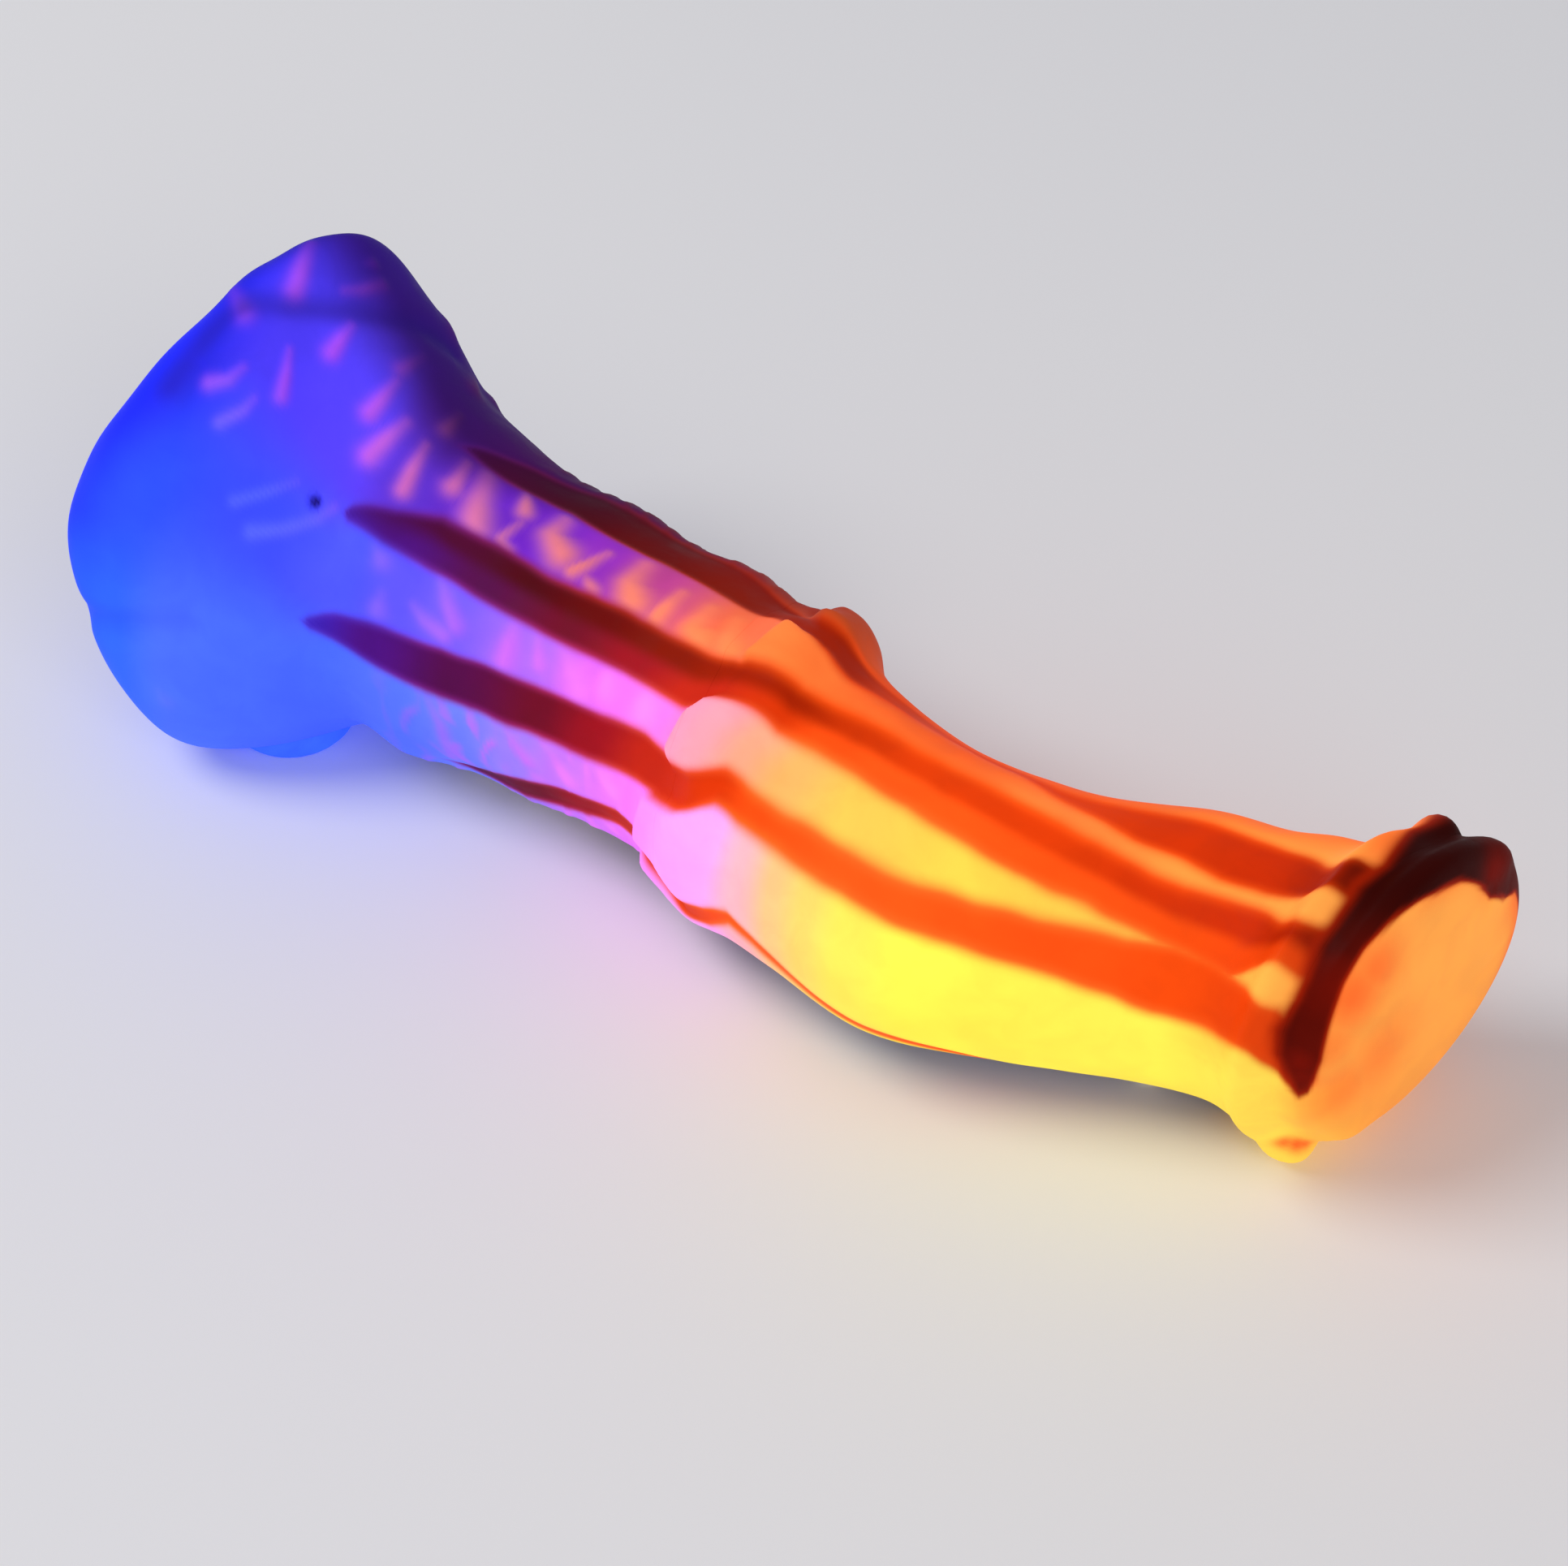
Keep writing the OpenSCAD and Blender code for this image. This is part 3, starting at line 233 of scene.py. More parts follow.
# The dark ring round the base: angle, then the places of its two edges
BASE_RING = [
    (-60, 24.8, 23.0), (-45, 23.6, 24.2), (-25, 23.2, 24.6), (0, 22.7, 24.9), (17, 22.3, 25.15),
    (25, 22.2, 25.45), (42, 22.1, 25.6), (62, 22.3, 25.38), (71, 22.5, 25.26), (86, 22.8, 25.18),
    (99, 22.7, 24.98), (106, 22.8, 24.85), (116, 22.85, 24.7), (124, 22.8, 24.5),
    (137, 23.0, 24.42), (145, 23.0, 24.5), (157, 22.8, 24.6), (166, 22.95, 24.66),
    (174, 23.4, 24.5), (180, 23.8, 24.26), (184, 24.1, 24.0), (196, 24.8, 23.2),
    (300, 24.8, 23.0)]
# Left edge of the collar: angle and place, then how far its crest lies behind, in mm
COLLAR_EDGE = [
    (-90, 12.0, 9), (-30, 12.4, 9), (20, 13.1, 7), (65, 13.2, 5), (94, 12.9, 6), (106, 12.6, 8),
    (125, 12.05, 11), (143, 11.9, 13), (158, 11.75, 14), (176, 11.6, 15), (194, 11.5, 14),
    (225, 11.6, 12), (270, 12.0, 9)]
# Width of a stripe's soft edge in millimetres: places, then widths
STRIPE_SOFT = [9, 13, 15, 22], [3.8, 3.8, 7.0, 5.0]
# How far a stripe's edge strays, in mm, and the noise behind it: mm, degrees, seed
STRIPE_WOBBLE, WOBBLE_NOISE = 0.5, (5.0, 12.0, 3)
# Widths of the ring's soft edge on the body and of its crisp edge on the end face, in mm
RING_SOFT, RING_CRISP = 5.2, 2.2


def row(rows, x, column):
    """A column of a table, read at x of its first column."""
    return np.interp(x, [r[0] for r in rows], [r[column] for r in rows])


def radius(u, a):
    """Length in millimetres of one radian round the form."""
    s = section(u)
    c, n = np.cos(np.radians(a)), np.sin(np.radians(a))
    return np.hypot(np.where(c > 0, s[..., 6], s[..., 5]) * n,
                    np.where(n > 0, s[..., 3], s[..., 4]) * c)


def stripe_reach(u, a):
    """How far inside the nearest stripe a place lies, from 0 outside to 1 inside."""
    soft = np.interp(u, *STRIPE_SOFT)
    best = np.zeros(np.broadcast(u, a).shape)
    wobble = STRIPE_WOBBLE * (cell_noise(run(u), a, *WOBBLE_NOISE) - 0.5)
    for rows in STRIPES.values():
        across = np.abs(turned(a, row(rows, u, 1))) * math.pi / 180 * radius(u, a)
        inside = (row(rows, u, 2) + wobble + soft / 2 - across) / soft
        best = np.maximum(best, np.clip(inside, 0, 1))
    return best


def ring_reach(u, a):
    """How far inside the base ring a place lies, from 0 outside to 1 inside."""
    b = (a + 60) % 360 - 60  # BASE_RING starts at -60
    x = run(u)
    start = (x - run(row(BASE_RING, b, 1))) / RING_SOFT + 0.5
    end = (run(row(BASE_RING, b, 2)) - x) / RING_CRISP + 0.5
    return np.clip(np.minimum(start, end), 0, 1)


# Raised folds of the head and the handle: places and angles along each, half width in
# mm and height in mm
FOLDS = [
    (((4.74, 87), (4.98, 99), (5.14, 107)), 1.4, 0.6),
    (((5.74, 95), (5.9, 89), (5.98, 80)), 1.1, 0.5), (((5.62, 80), (5.66, 77)), 0.9, 0.4),
    (((6.14, 100), (6.14, 106), (6.14, 111)), 1.3, 0.6),
    (((5.58, 120), (5.7, 125), (5.78, 130)), 1.0, 0.5),
    (((4.94, 130), (4.74, 133), (4.34, 132)), 1.2, 0.5),
    (((5.38, 135), (5.26, 139), (4.9, 143)), 1.0, 0.4),
    (((7.06, 97), (7.06, 105), (7.02, 112)), 1.4, 0.6),
    (((7.74, 102), (7.62, 111), (7.46, 120)), 1.6, 0.6),
    (((8.18, 101), (8.22, 110), (8.26, 118)), 1.3, 0.6), (((7.02, 81), (6.98, 93)), 1.2, 0.4),
    (((8.18, 81), (8.22, 90)), 1.2, 0.5), (((6.46, 143), (6.1, 150), (5.58, 157)), 0.9, 0.3),
    (((7.18, 140), (6.94, 146), (6.46, 155), (5.98, 161)), 1.1, 0.35),
    (((3.7, 90), (4.4, 113)), 1.5, 0.3), (((8.66, 93), (8.7, 101), (8.7, 104)), 1.3, 0.6),
    (((8.9, 89), (9.02, 102), (9.14, 111)), 2.2, 0.8), (((9.34, 84), (9.46, 92)), 1.1, 0.6),
    (((9.5, 97), (9.42, 108), (9.54, 110)), 0.9, 0.6),
    (((9.82, 84), (9.82, 94), (10.02, 99)), 2.0, 0.8),
    (((10.34, 87), (10.26, 97), (10.18, 103)), 1.0, 0.6), (((10.3, 102), (10.42, 106)), 1.0, 0.5),
    (((10.66, 84), (10.66, 96), (10.78, 103)), 2.2, 0.8),
    (((11.14, 87), (11.1, 97), (11.06, 107)), 1.4, 0.7),
    (((11.54, 86), (11.5, 99), (11.7, 101)), 2.0, 0.8),
    (((11.98, 84), (12.06, 95), (12.3, 99)), 2.0, 0.6), (((8.26, 138), (8.38, 140)), 1.5, 0.4),
    (((8.5, 149), (8.5, 154)), 1.5, 0.4), (((9.06, 130), (9.22, 137), (9.38, 143)), 1.2, 0.6),
    (((8.9, 145), (9.06, 147), (9.3, 148)), 1.1, 0.6),
    (((9.94, 130), (9.94, 138), (9.94, 146)), 1.7, 0.7), (((10.18, 132), (10.26, 141)), 0.9, 0.5),
    (((10.42, 131), (10.54, 138), (10.66, 143)), 1.8, 0.7),
    (((10.86, 129), (10.9, 138)), 1.6, 0.6), (((11.38, 129), (11.38, 138)), 1.8, 0.6),
    (((9.22, 172), (9.38, 183), (9.42, 202)), 1.1, 0.4), (((10.06, 172), (10.26, 182)), 1.1, 0.4),
    (((10.5, 173), (10.66, 182)), 1.1, 0.4), (((10.98, 168), (11.18, 174)), 1.2, 0.4),
    (((4.36, 209), (4.48, 212)), 1.3, 0.25), (((7.4, 50), (7.8, 60)), 1.6, 0.6),
    (((6.0, 40), (6.5, 48)), 1.8, 0.5), (((7.0, 28), (7.5, 36)), 1.6, 0.6),
    (((5.4, 20), (6.0, 28)), 1.8, 0.5), (((6.6, 8), (7.2, 16)), 1.6, 0.5),
    (((7.4, -4), (7.8, 4)), 1.4, 0.5)]
# Hollows of the head: places and angles along each, half width, depth in mm and darkness,
# the strength of the painted shade laid in them
HOLLOWS = [
    (((4.18, 107), (5.3, 111), (6.18, 93), (6.62, 72), (6.94, 58)), 2.4, 0.9, 0.55),
    (((3.5, 124), (3.7, 113), (3.95, 106)), 2.8, 0.3, 0.36),
    (((2.3, 212), (2.98, 199), (3.82, 192), (4.98, 189)), 2.6, 1.1, 0.14)]
# Warm spots painted on the end face and the toe: place, angle, half width in mm, strength
EMBERS = [
    (24.95, 140, 7.0, 0.8), (24.8, 160, 6.0, 0.5), (25.2, 128, 6.0, 0.7), (25.3, 186, 7.0, 0.55),
    (26.1, 176, 8.0, 0.45), (25.3, 12, 5.0, 0.3), (25.2, 46, 4.0, 0.9), (22.6, 226, 1.6, 0.9),
    (22.8, 229, 1.7, 1.0), (23.0, 231, 1.5, 0.9), (20.6, 163, 5.0, 0.3), (23.9, 168, 3.0, 1.0),
    (24.05, 174, 2.6, 1.0)]
# Broad swells and dips of the outline: place, angle, half width in mm and height in mm
SWELLS = [
    (3.9, 88, 7.0, 1.5), (4.4, 80, 5.0, 0.8), (1.9, 90, 9.0, -1.0), (1.3, 135, 8.0, -0.9),
    (5.3, 244, 10.0, -1.2), (6.5, 244, 10.0, -1.6), (8.7, 221, 6.0, 1.2), (10.1, 216, 8.0, 1.2),
    (11.2, 207, 6.0, -1.3), (7.8, 46, 8.0, -1.3), (10.1, 42, 9.0, 1.7), (11.4, 41, 8.0, 1.6),
    (13.0, 52, 5.0, -1.9), (18.6, 46, 10.0, 1.2), (20.0, 50, 6.0, 1.2), (21.7, 60, 5.0, -0.8),
    (22.25, 40, 4.5, 2.4), (24.3, 38, 4.5, 0.9), (22.4, 238, 4.5, 4.0), (24.4, 232, 5.0, 1.0)]


def near_path(path, points):
    """Distance of points from a path of places and angles, and how far along it they lie."""
    best, at = np.full(points.shape[:-1], 1e9), np.zeros(points.shape[:-1])
    for k, ((u0, a0), (u1, a1)) in enumerate(zip(path, path[1:])):
        p, q = surface(u0, a0), surface(u1, a1)
        t = np.clip(((points - p) @ (q - p)) / ((q - p) @ (q - p)), 0, 1)
        d = np.linalg.norm(points - p - t[..., None] * (q - p), axis=-1)
        at = np.where(d < best, (k + t) / (len(path) - 1), at)
        best = np.minimum(best, d)
    return best, at


# The stripes' groove: depth, then where it sets in and fades, each as place and sections
GROOVE_DEPTH, GROOVE_START, GROOVE_END = 0.6, (8.2, 1.2), (22.3, 1.0)
# The collar: height, share of it that a stripe takes away, how far a stripe pulls its edge
# back; width of its edge, width of the slope behind it and where on the way that starts
COLLAR_TALL, COLLAR_STRIPED, COLLAR_PULL = 2.1, 0.85, 2.6
COLLAR_STEP, COLLAR_SLOPE, COLLAR_CREST = 3.2, 9.0, 0.55
# The far side's folds: height, distance from one to the next, and strength of their painted
# light in the colour
FAR_FOLD_TALL, FAR_FOLD_PITCH, FAR_FOLD_MARK = 0.35, 4.6, 0.7
FAR_COARSE, FAR_FINE = (9.0, 15.0, 11), (3.5, 8.0, 12)  # their noises: mm, degrees, seed
# Folds from this place on are wider; a stripe takes this share away from a fold; a fold
# this tall or taller gets its painted light in full
HANDLE_FROM, HANDLE_WIDER, FOLD_STRIPED, FULL_MARK_TALL = 8.6, 1.15, 0.8, 0.6
# The small hole of the head, fully darkened with painted shade: place and angle, radius
# and depth
HOLE_AT, HOLE_R, HOLE_DEPTH = (6.82, 143.0), 1.1, 1.6
TIP_FADE = 0.6  # the relief comes in over so many sections from the head's tip


def far_folds(u, a, x, behind, stripe):
    """Crosswise folds of the handle's far side, from 0 to 1; the camera's side has none."""
    coarse, fine = cell_noise(x, a, *FAR_COARSE), cell_noise(x, a, *FAR_FINE)
    bent = x + 5.0 * coarse + 2.2 * fine
    wave = np.sin(bent / FAR_FOLD_PITCH * 2 * math.pi + np.radians(a) * 2)
    fold = rise(wave, 0.1, 0.9) * rise(fine, 0.2, 0.5)
    level = from_below(a)
    seen = rise(level, 52, 14) * fall(level, 150, 30)
    on_handle = rise(u, 8.3, 1.0) * fall(behind, -9.0, 7.0)
    return fold * on_handle * (1 - smooth(stripe)) * (1 - seen) * FAR_FOLD_MARK


def near_spot(points, u, a, half, power=2):
    """Falls from 1 at the spot (u, a) to almost 0 beyond half."""
    return np.exp(-(np.linalg.norm(points - surface(u, a), axis=-1) / half) ** power)


def relief(u, a, points):
    """Height of the modelled detail over the smooth form, in mm, with its masks."""
    u, a = np.broadcast_arrays(u, a)
    stripe, ring = stripe_reach(u, a), ring_reach(u, a)
    x = run(u)
    height = -GROOVE_DEPTH * smooth(stripe) * rise(u, *GROOVE_START) * fall(u, *GROOVE_END)
    # the collar: a step at its slanted left edge, swelling between the stripes
    level = from_below(a)
    edge, depth = row(COLLAR_EDGE, level, 1), row(COLLAR_EDGE, level, 2)
    behind = x - run(edge) - COLLAR_PULL * smooth(stripe)
    swell = (smooth(behind / COLLAR_STEP + 0.5)
             * fall(behind, depth * COLLAR_CREST, COLLAR_SLOPE))
    height = height + COLLAR_TALL * swell * (1 - COLLAR_STRIPED * smooth(stripe))
    folds = far_folds(u, a, x, behind, stripe)
    height = height + FAR_FOLD_TALL * folds
    # folds that cross take the higher one's height, so they don't pile up
    fold_light, raised = np.zeros(u.shape), np.zeros(u.shape)
    for path, half, tall in FOLDS:
        away, t = near_path(path, points)
        # a fold starts narrow and faint
        wide = half * (0.75 + 0.5 * t) * (HANDLE_WIDER if path[0][0] > HANDLE_FROM else 1.0)
        mark = (np.exp(-(away / wide) ** 2) * (1 - FOLD_STRIPED * smooth(stripe))
                * (0.5 + 0.5 * smooth(1.4 * t)))
        # the marks are painted light: the folds' ridges are coloured lighter and pinker
        fold_light = np.maximum(fold_light, mark * min(1.0, tall / FULL_MARK_TALL))
        raised = np.maximum(raised, tall * mark)
    height = height + raised
    # dark is painted shade: the hollows and the hole are coloured darker
    dark = np.zeros(u.shape)
    for path, half, deep, shade in HOLLOWS:
        mark = np.exp(-(near_path(path, points)[0] / half) ** 2)
        height = height - deep * mark
        dark = np.maximum(dark, shade * mark)
    hole = near_spot(points, *HOLE_AT, HOLE_R, 4)
    height = height - HOLE_DEPTH * hole
    dark = np.maximum(dark, hole)
    for su, sa, half, tall in SWELLS:
        height = height + tall * near_spot(points, su, sa, half)
    return height * smooth(u / TIP_FADE), stripe, ring, np.maximum(folds, fold_light), dark, behind


AROUND = 288  # points round each row
ANGLES = np.arange(AROUND) * 360.0 / AROUND


def rings(us, inset):
    """Rows of points on the form at places us; the outer face carries its relief."""
    u, a = np.meshgrid(us, ANGLES, indexing="ij")
    p = surface(u, a, inset)
    if inset == 0:
        p = p + relief(u, a, p)[0][..., None] * outward(u, a)
    return p


def make_mesh(name, points, faces):
    """Object from points in millimetres and faces."""
    mesh = bpy.data.meshes.new(name)
    mesh.from_pydata((np.asarray(points) * MM).tolist(), [], faces)
    mesh.validate()
    mesh.update()
    obj = bpy.data.objects.new(name, mesh)
    bpy.context.scene.collection.objects.link(obj)
    return obj


def tube(name, parts, loop=False):
    """Closed body through rows of points: capped at both ends, or joined into a loop."""
    grid = np.concatenate([rings(np.atleast_1d(us), inset) for us, inset in parts])
    n, m = grid.shape[:2]
    k = np.arange(m)
    faces = []
    for i in range(n if loop else n - 1):
        j = (i + 1) % n
        quad = np.stack([i * m + k, i * m + (k + 1) % m, j * m + (k + 1) % m, j * m + k], 1)
        faces.extend(quad.tolist())
    points = grid.reshape(-1, 3)
    if not loop:
        points = np.concatenate([points, grid[0].mean(0)[None], grid[-1].mean(0)[None]])
        first, last = n * m, n * m + 1
        faces.extend([[first, int((i + 1) % m), int(i)] for i in k])
        faces.extend([[last, int((n - 1) * m + i), int((n - 1) * m + (i + 1) % m)] for i in k])
    return make_mesh(name, points, faces)


def near_edge(x, side):
    """Edge of the underside's flat at x: side -1 towards -Y, +1 towards +Y."""
    u = np.interp(x, SECTIONS[:, 0], np.arange(LAST + 1))
    s = section(u)
    depth = s[..., 2] - PLATE_Z
    reach = np.where(side > 0, s[..., 6], s[..., 5])
    half = reach * np.sqrt(np.maximum(0, 1 - (depth / s[..., 4]) ** 2))
    return s[..., 1] - s[..., 9] * depth + side * half


def prism(name, outline, z0, z1):
    """Upright prism over an outline of x and y."""
    n = len(outline)
    points = [(x, y, z0) for x, y in outline] + [(x, y, z1) for x, y in outline]
    faces = [list(range(n))[::-1], list(range(n, 2 * n))]
    faces += [[i, (i + 1) % n, n + (i + 1) % n, n + i] for i in range(n)]
    return make_mesh(name, points, faces)


def circle(x, y, r, n=96):
    """Outline of a circle for prism."""
    turns = [2 * math.pi * i / n for i in range(n)]
    return [(x + r * math.cos(t), y + r * math.sin(t)) for t in turns]


def cut(obj, cutters):
    """Takes the cutters out of obj for good."""
    for cutter in cutters:
        mod = obj.modifiers.new("cut", "BOOLEAN")
        mod.operation, mod.solver, mod.object = "DIFFERENCE", "MANIFOLD", cutter
    bpy.context.view_layer.update()
    dg = bpy.context.evaluated_depsgraph_get()
    mesh = bpy.data.meshes.new_from_object(obj.evaluated_get(dg))
    obj.modifiers.clear()
    old = obj.data
    obj.data = mesh
    bpy.data.meshes.remove(old)
    mesh.name = obj.name


# Rows of the skins: places and inset; outer faces in steps of under a millimetre
TIP = 0.05
HEAD_STEP, BODY_STEP, BASE_STEP, INNER_STEP = 0.75, 0.7, 0.6, 2.5
skin_head = tube("skin_head", [
    (even_places(TIP, COLLAR_SEAM, HEAD_STEP), 0),
    ([COLLAR_SEAM, HEAD_SPIGOT_END], WALL + SPIGOT_GAP),
    ([HEAD_SPIGOT_END, COLLAR_SEAM, 11.9], 2 * WALL),
    (even_places(3.5, 11.7, INNER_STEP)[::-1], WALL),
    ([3], WALL + 1), ([2.6], WALL + 4), ([2.35], WALL + 10)])
skin_body = tube("skin_body", [
    (even_places(COLLAR_SEAM + SEAM, BASE_SEAM, BODY_STEP), 0),
    (even_places(COLLAR_SEAM + SEAM, BASE_SEAM, INNER_STEP)[::-1], WALL)], loop=True)
skin_base = tube("skin_base", [
    ([24.9], WALL + 6), ([24.7], WALL + 2), ([24, BASE_SPIGOT_END], 2 * WALL),
    ([BASE_SPIGOT_END, 22, 22.5, BASE_SEAM + SEAM], WALL + SPIGOT_GAP),
    (even_places(BASE_SEAM + SEAM, LAST - TIP, BASE_STEP), 0)])

# What the base plate and the ear piece need: cut from the skins as it is from the solids
BOX_HALF, BOX_LOW = 60, -20
flat_box = prism("flat_box", [(PLATE_X0 - 2, -BOX_HALF), (PLATE_X1 + 1, -BOX_HALF),
                              (PLATE_X1 + 1, BOX_HALF), (PLATE_X0 - 2, BOX_HALF)],
                 BOX_LOW, PLATE_Z)
EDGE_POINTS = 19
xs = PLATE_X0 + (PLATE_X1 - PLATE_X0) * np.arange(EDGE_POINTS) / (EDGE_POINTS - 1)
grown = xs.copy()
grown[0] -= PLATE_GAP
grown[-1] += PLATE_GAP
pocket_outline = (
    [(g, float(near_edge(x, -1)) + PLATE_GAP) for g, x in zip(grown, xs)]
    + [(g, float(near_edge(x, 1)) - PLATE_GAP) for g, x in zip(grown[::-1], xs[::-1])])
pocket = prism("pocket", pocket_outline, PLATE_Z - 1, PLATE_Z + PLATE_T + PLATE_GAP / 2)
ear_bore = prism("ear_bore", circle(EAR_X, EAR_Y, EAR_BORE_R), -5, EAR_SEAT_Z + 1)
ear_seat = prism("ear_seat", circle(EAR_X, EAR_Y, EAR_BORE_R + EAR_FLANGE + 0.3),
                 EAR_SEAT_Z, EAR_SEAT_Z + 4)
cut(skin_head, [flat_box, pocket, ear_bore, ear_seat])
cut(skin_body, [flat_box, pocket])
for cutter in (flat_box, pocket, ear_bore, ear_seat):
    bpy.data.objects.remove(cutter)

# ---------------------------------------------------------------- painting masks
# Every vertex gets: paint = stripe, ring, ridge, the last being painted light on the folds;
# zone = top, middle, dark, the last being painted shade in the hollows and the hole; along = x
# in mm, moved so that the collar's left edge is level; far = painted shade by how far round
# the far side it lies; ember = warm spots. The masks are worked out on a grid of places and
# read off near by.
MASK_STEP = 0.75
TOP_MIDDLE = 83  # angle of the top zone's middle
ZONE_BLEND = [5, 9], [34, 7]  # places, then degrees over which two zones blend there
# Where the far side's painted shade starts: places, then angles; and the degrees over which
# it comes in
FAR_SHADE_FROM = ([3, 5.5, 8.4, 9.2, 10, 11, 12.5, 13.5, 21.2, 22.2],
            [98, 108, 114, 98, 84, 76, 70, 80, 80, 106])
FAR_SHADE_BLEND = [7, 9.5], [36, 30]
# Where the far side's painted shade fades, each as start and width: underneath, head's tip
# and end face
FAR_SHADE_UNDER, FAR_SHADE_HEAD, FAR_SHADE_END = (-62, 50), (1.2, 2.6), (25.0, 0.6)
# x that the collar's left edge is moved to; the move fades so many mm away from the edge
LEVEL_X, LEVEL_FADE = -4.0, (8, 30)
# Zones at the very tips, and the sections over which they come in
ROUND_TOP, ROUND_MIDDLE, ROUND_FADE = 0.55, 0.7, (0.1, 2.2)

grid_u, grid_a = np.meshgrid(even_places(TIP, LAST - TIP, MASK_STEP), ANGLES, indexing="ij")
grid_p = surface(grid_u, grid_a)
# of these masks the folds' one carries painted light, the dark one painted shade
heights, g_stripe, g_ring, g_ridge_light, g_hollow_shade, g_behind = relief(grid_u, grid_a, grid_p)
g_stripe, g_ring = smooth(g_stripe), smooth(g_ring)
# the zones lie between the stripes: top from "upper" over to "back", middle to "lower"
blend_width = np.interp(grid_u, *ZONE_BLEND)
centre = turned(grid_a, TOP_MIDDLE)


def zone(near_stripe, far_stripe):
    """1 between the two stripes and 0 beyond them, blended across each."""
    near_reach = row(STRIPES[near_stripe], grid_u, 1) - TOP_MIDDLE
    far_reach = TOP_MIDDLE - row(STRIPES[far_stripe], grid_u, 1)
    return np.where(centre > 0, smooth(0.5 - (centre - near_reach) / blend_width),
                    smooth(0.5 - (-centre - far_reach) / blend_width))


g_top, g_mid = zone("upper", "back"), zone("lower", "back_low")
level = from_below(grid_a)
edge_x = surface(row(COLLAR_EDGE, level, 1), grid_a)[..., 0]
g_along = grid_p[..., 0] + (LEVEL_X - edge_x) * fall(np.abs(g_behind), *LEVEL_FADE)
# painted shade: the side turned away from the camera is darkened
g_far_shade = smooth((np.interp(grid_u, *FAR_SHADE_FROM) - level) / np.interp(grid_u, *FAR_SHADE_BLEND))
g_far_shade = g_far_shade * rise(level, *FAR_SHADE_UNDER)
g_far_shade = g_far_shade * fall(grid_u, *FAR_SHADE_END) * rise(grid_u, *FAR_SHADE_HEAD)
# towards the two tips every place round the form takes the same zone
round_tip = rise(np.minimum(grid_u, LAST - grid_u), *ROUND_FADE)
g_top = ROUND_TOP + (g_top - ROUND_TOP) * round_tip
g_mid = ROUND_MIDDLE + (g_mid - ROUND_MIDDLE) * round_tip
g_ember = np.zeros(grid_u.shape)
for eu, ea, half, strength in EMBERS:
    g_ember = np.maximum(g_ember, strength * near_spot(grid_p, eu, ea, half))
GRID = np.stack([g_stripe, g_ring, g_ridge_light, g_top, g_mid, g_hollow_shade, g_along, g_far_shade, g_ember], -1)
GRID = GRID.reshape(-1, GRID.shape[-1])
tree = kdtree.KDTree(len(GRID))
for i, p in enumerate((grid_p + heights[..., None] * outward(grid_u, grid_a)).reshape(-1, 3)):
    tree.insert(p, i)
tree.balance()
# Places of the grid that each vertex blends, and a distance squared that evens out the near
# ones; edges sharper than this angle stay sharp
NEAREST, EVEN_OUT, SHARP_DEGREES = 4, 0.01, 38


def paint(obj):
    """Writes the masks on the vertices, blended from the nearest places of the grid."""
    mesh = obj.data
    count = len(mesh.vertices)
    co = np.empty(count * 3)
    mesh.vertices.foreach_get("co", co)
    near = [tree.find_n(p, NEAREST) for p in co.reshape(-1, 3) / MM]
    index = np.array([[i for _, i, _ in found] for found in near])
    weight = 1 / (np.array([[d for _, _, d in found] for found in near]) ** 2 + EVEN_OUT)
    weight = weight / weight.sum(1, keepdims=True)
    values = (GRID[index] * weight[..., None]).sum(1)
    ones = np.ones((count, 1))
    for name, columns in (("paint", values[:, 0:3]), ("zone", values[:, 3:6])):
        layer = mesh.attributes.new(name, "FLOAT_COLOR", "POINT")
        rgba = np.concatenate([columns, ones], 1)
        layer.data.foreach_set("color", rgba.ravel().astype(np.float32))
    for name, column in (("along", values[:, 6]), ("far", values[:, 7]), ("ember", values[:, 8])):
        layer = mesh.attributes.new(name, "FLOAT", "POINT")
        layer.data.foreach_set("value", column.astype(np.float32))
    mesh.shade_smooth()
    mesh.set_sharp_from_angle(angle=math.radians(SHARP_DEGREES))


for skin in (skin_head, skin_body, skin_base):
    paint(skin)

# ---------------------------------------------------------------- materials


def linear(hex_colour):
    """A written sRGB colour as the linear values that Blender takes."""
    v = [int(hex_colour[i:i + 2], 16) / 255 for i in (1, 3, 5)]
    return tuple(c / 12.92 if c <= 0.04045 else ((c + 0.055) / 1.055) ** 2.4 for c in v) + (1.0,)


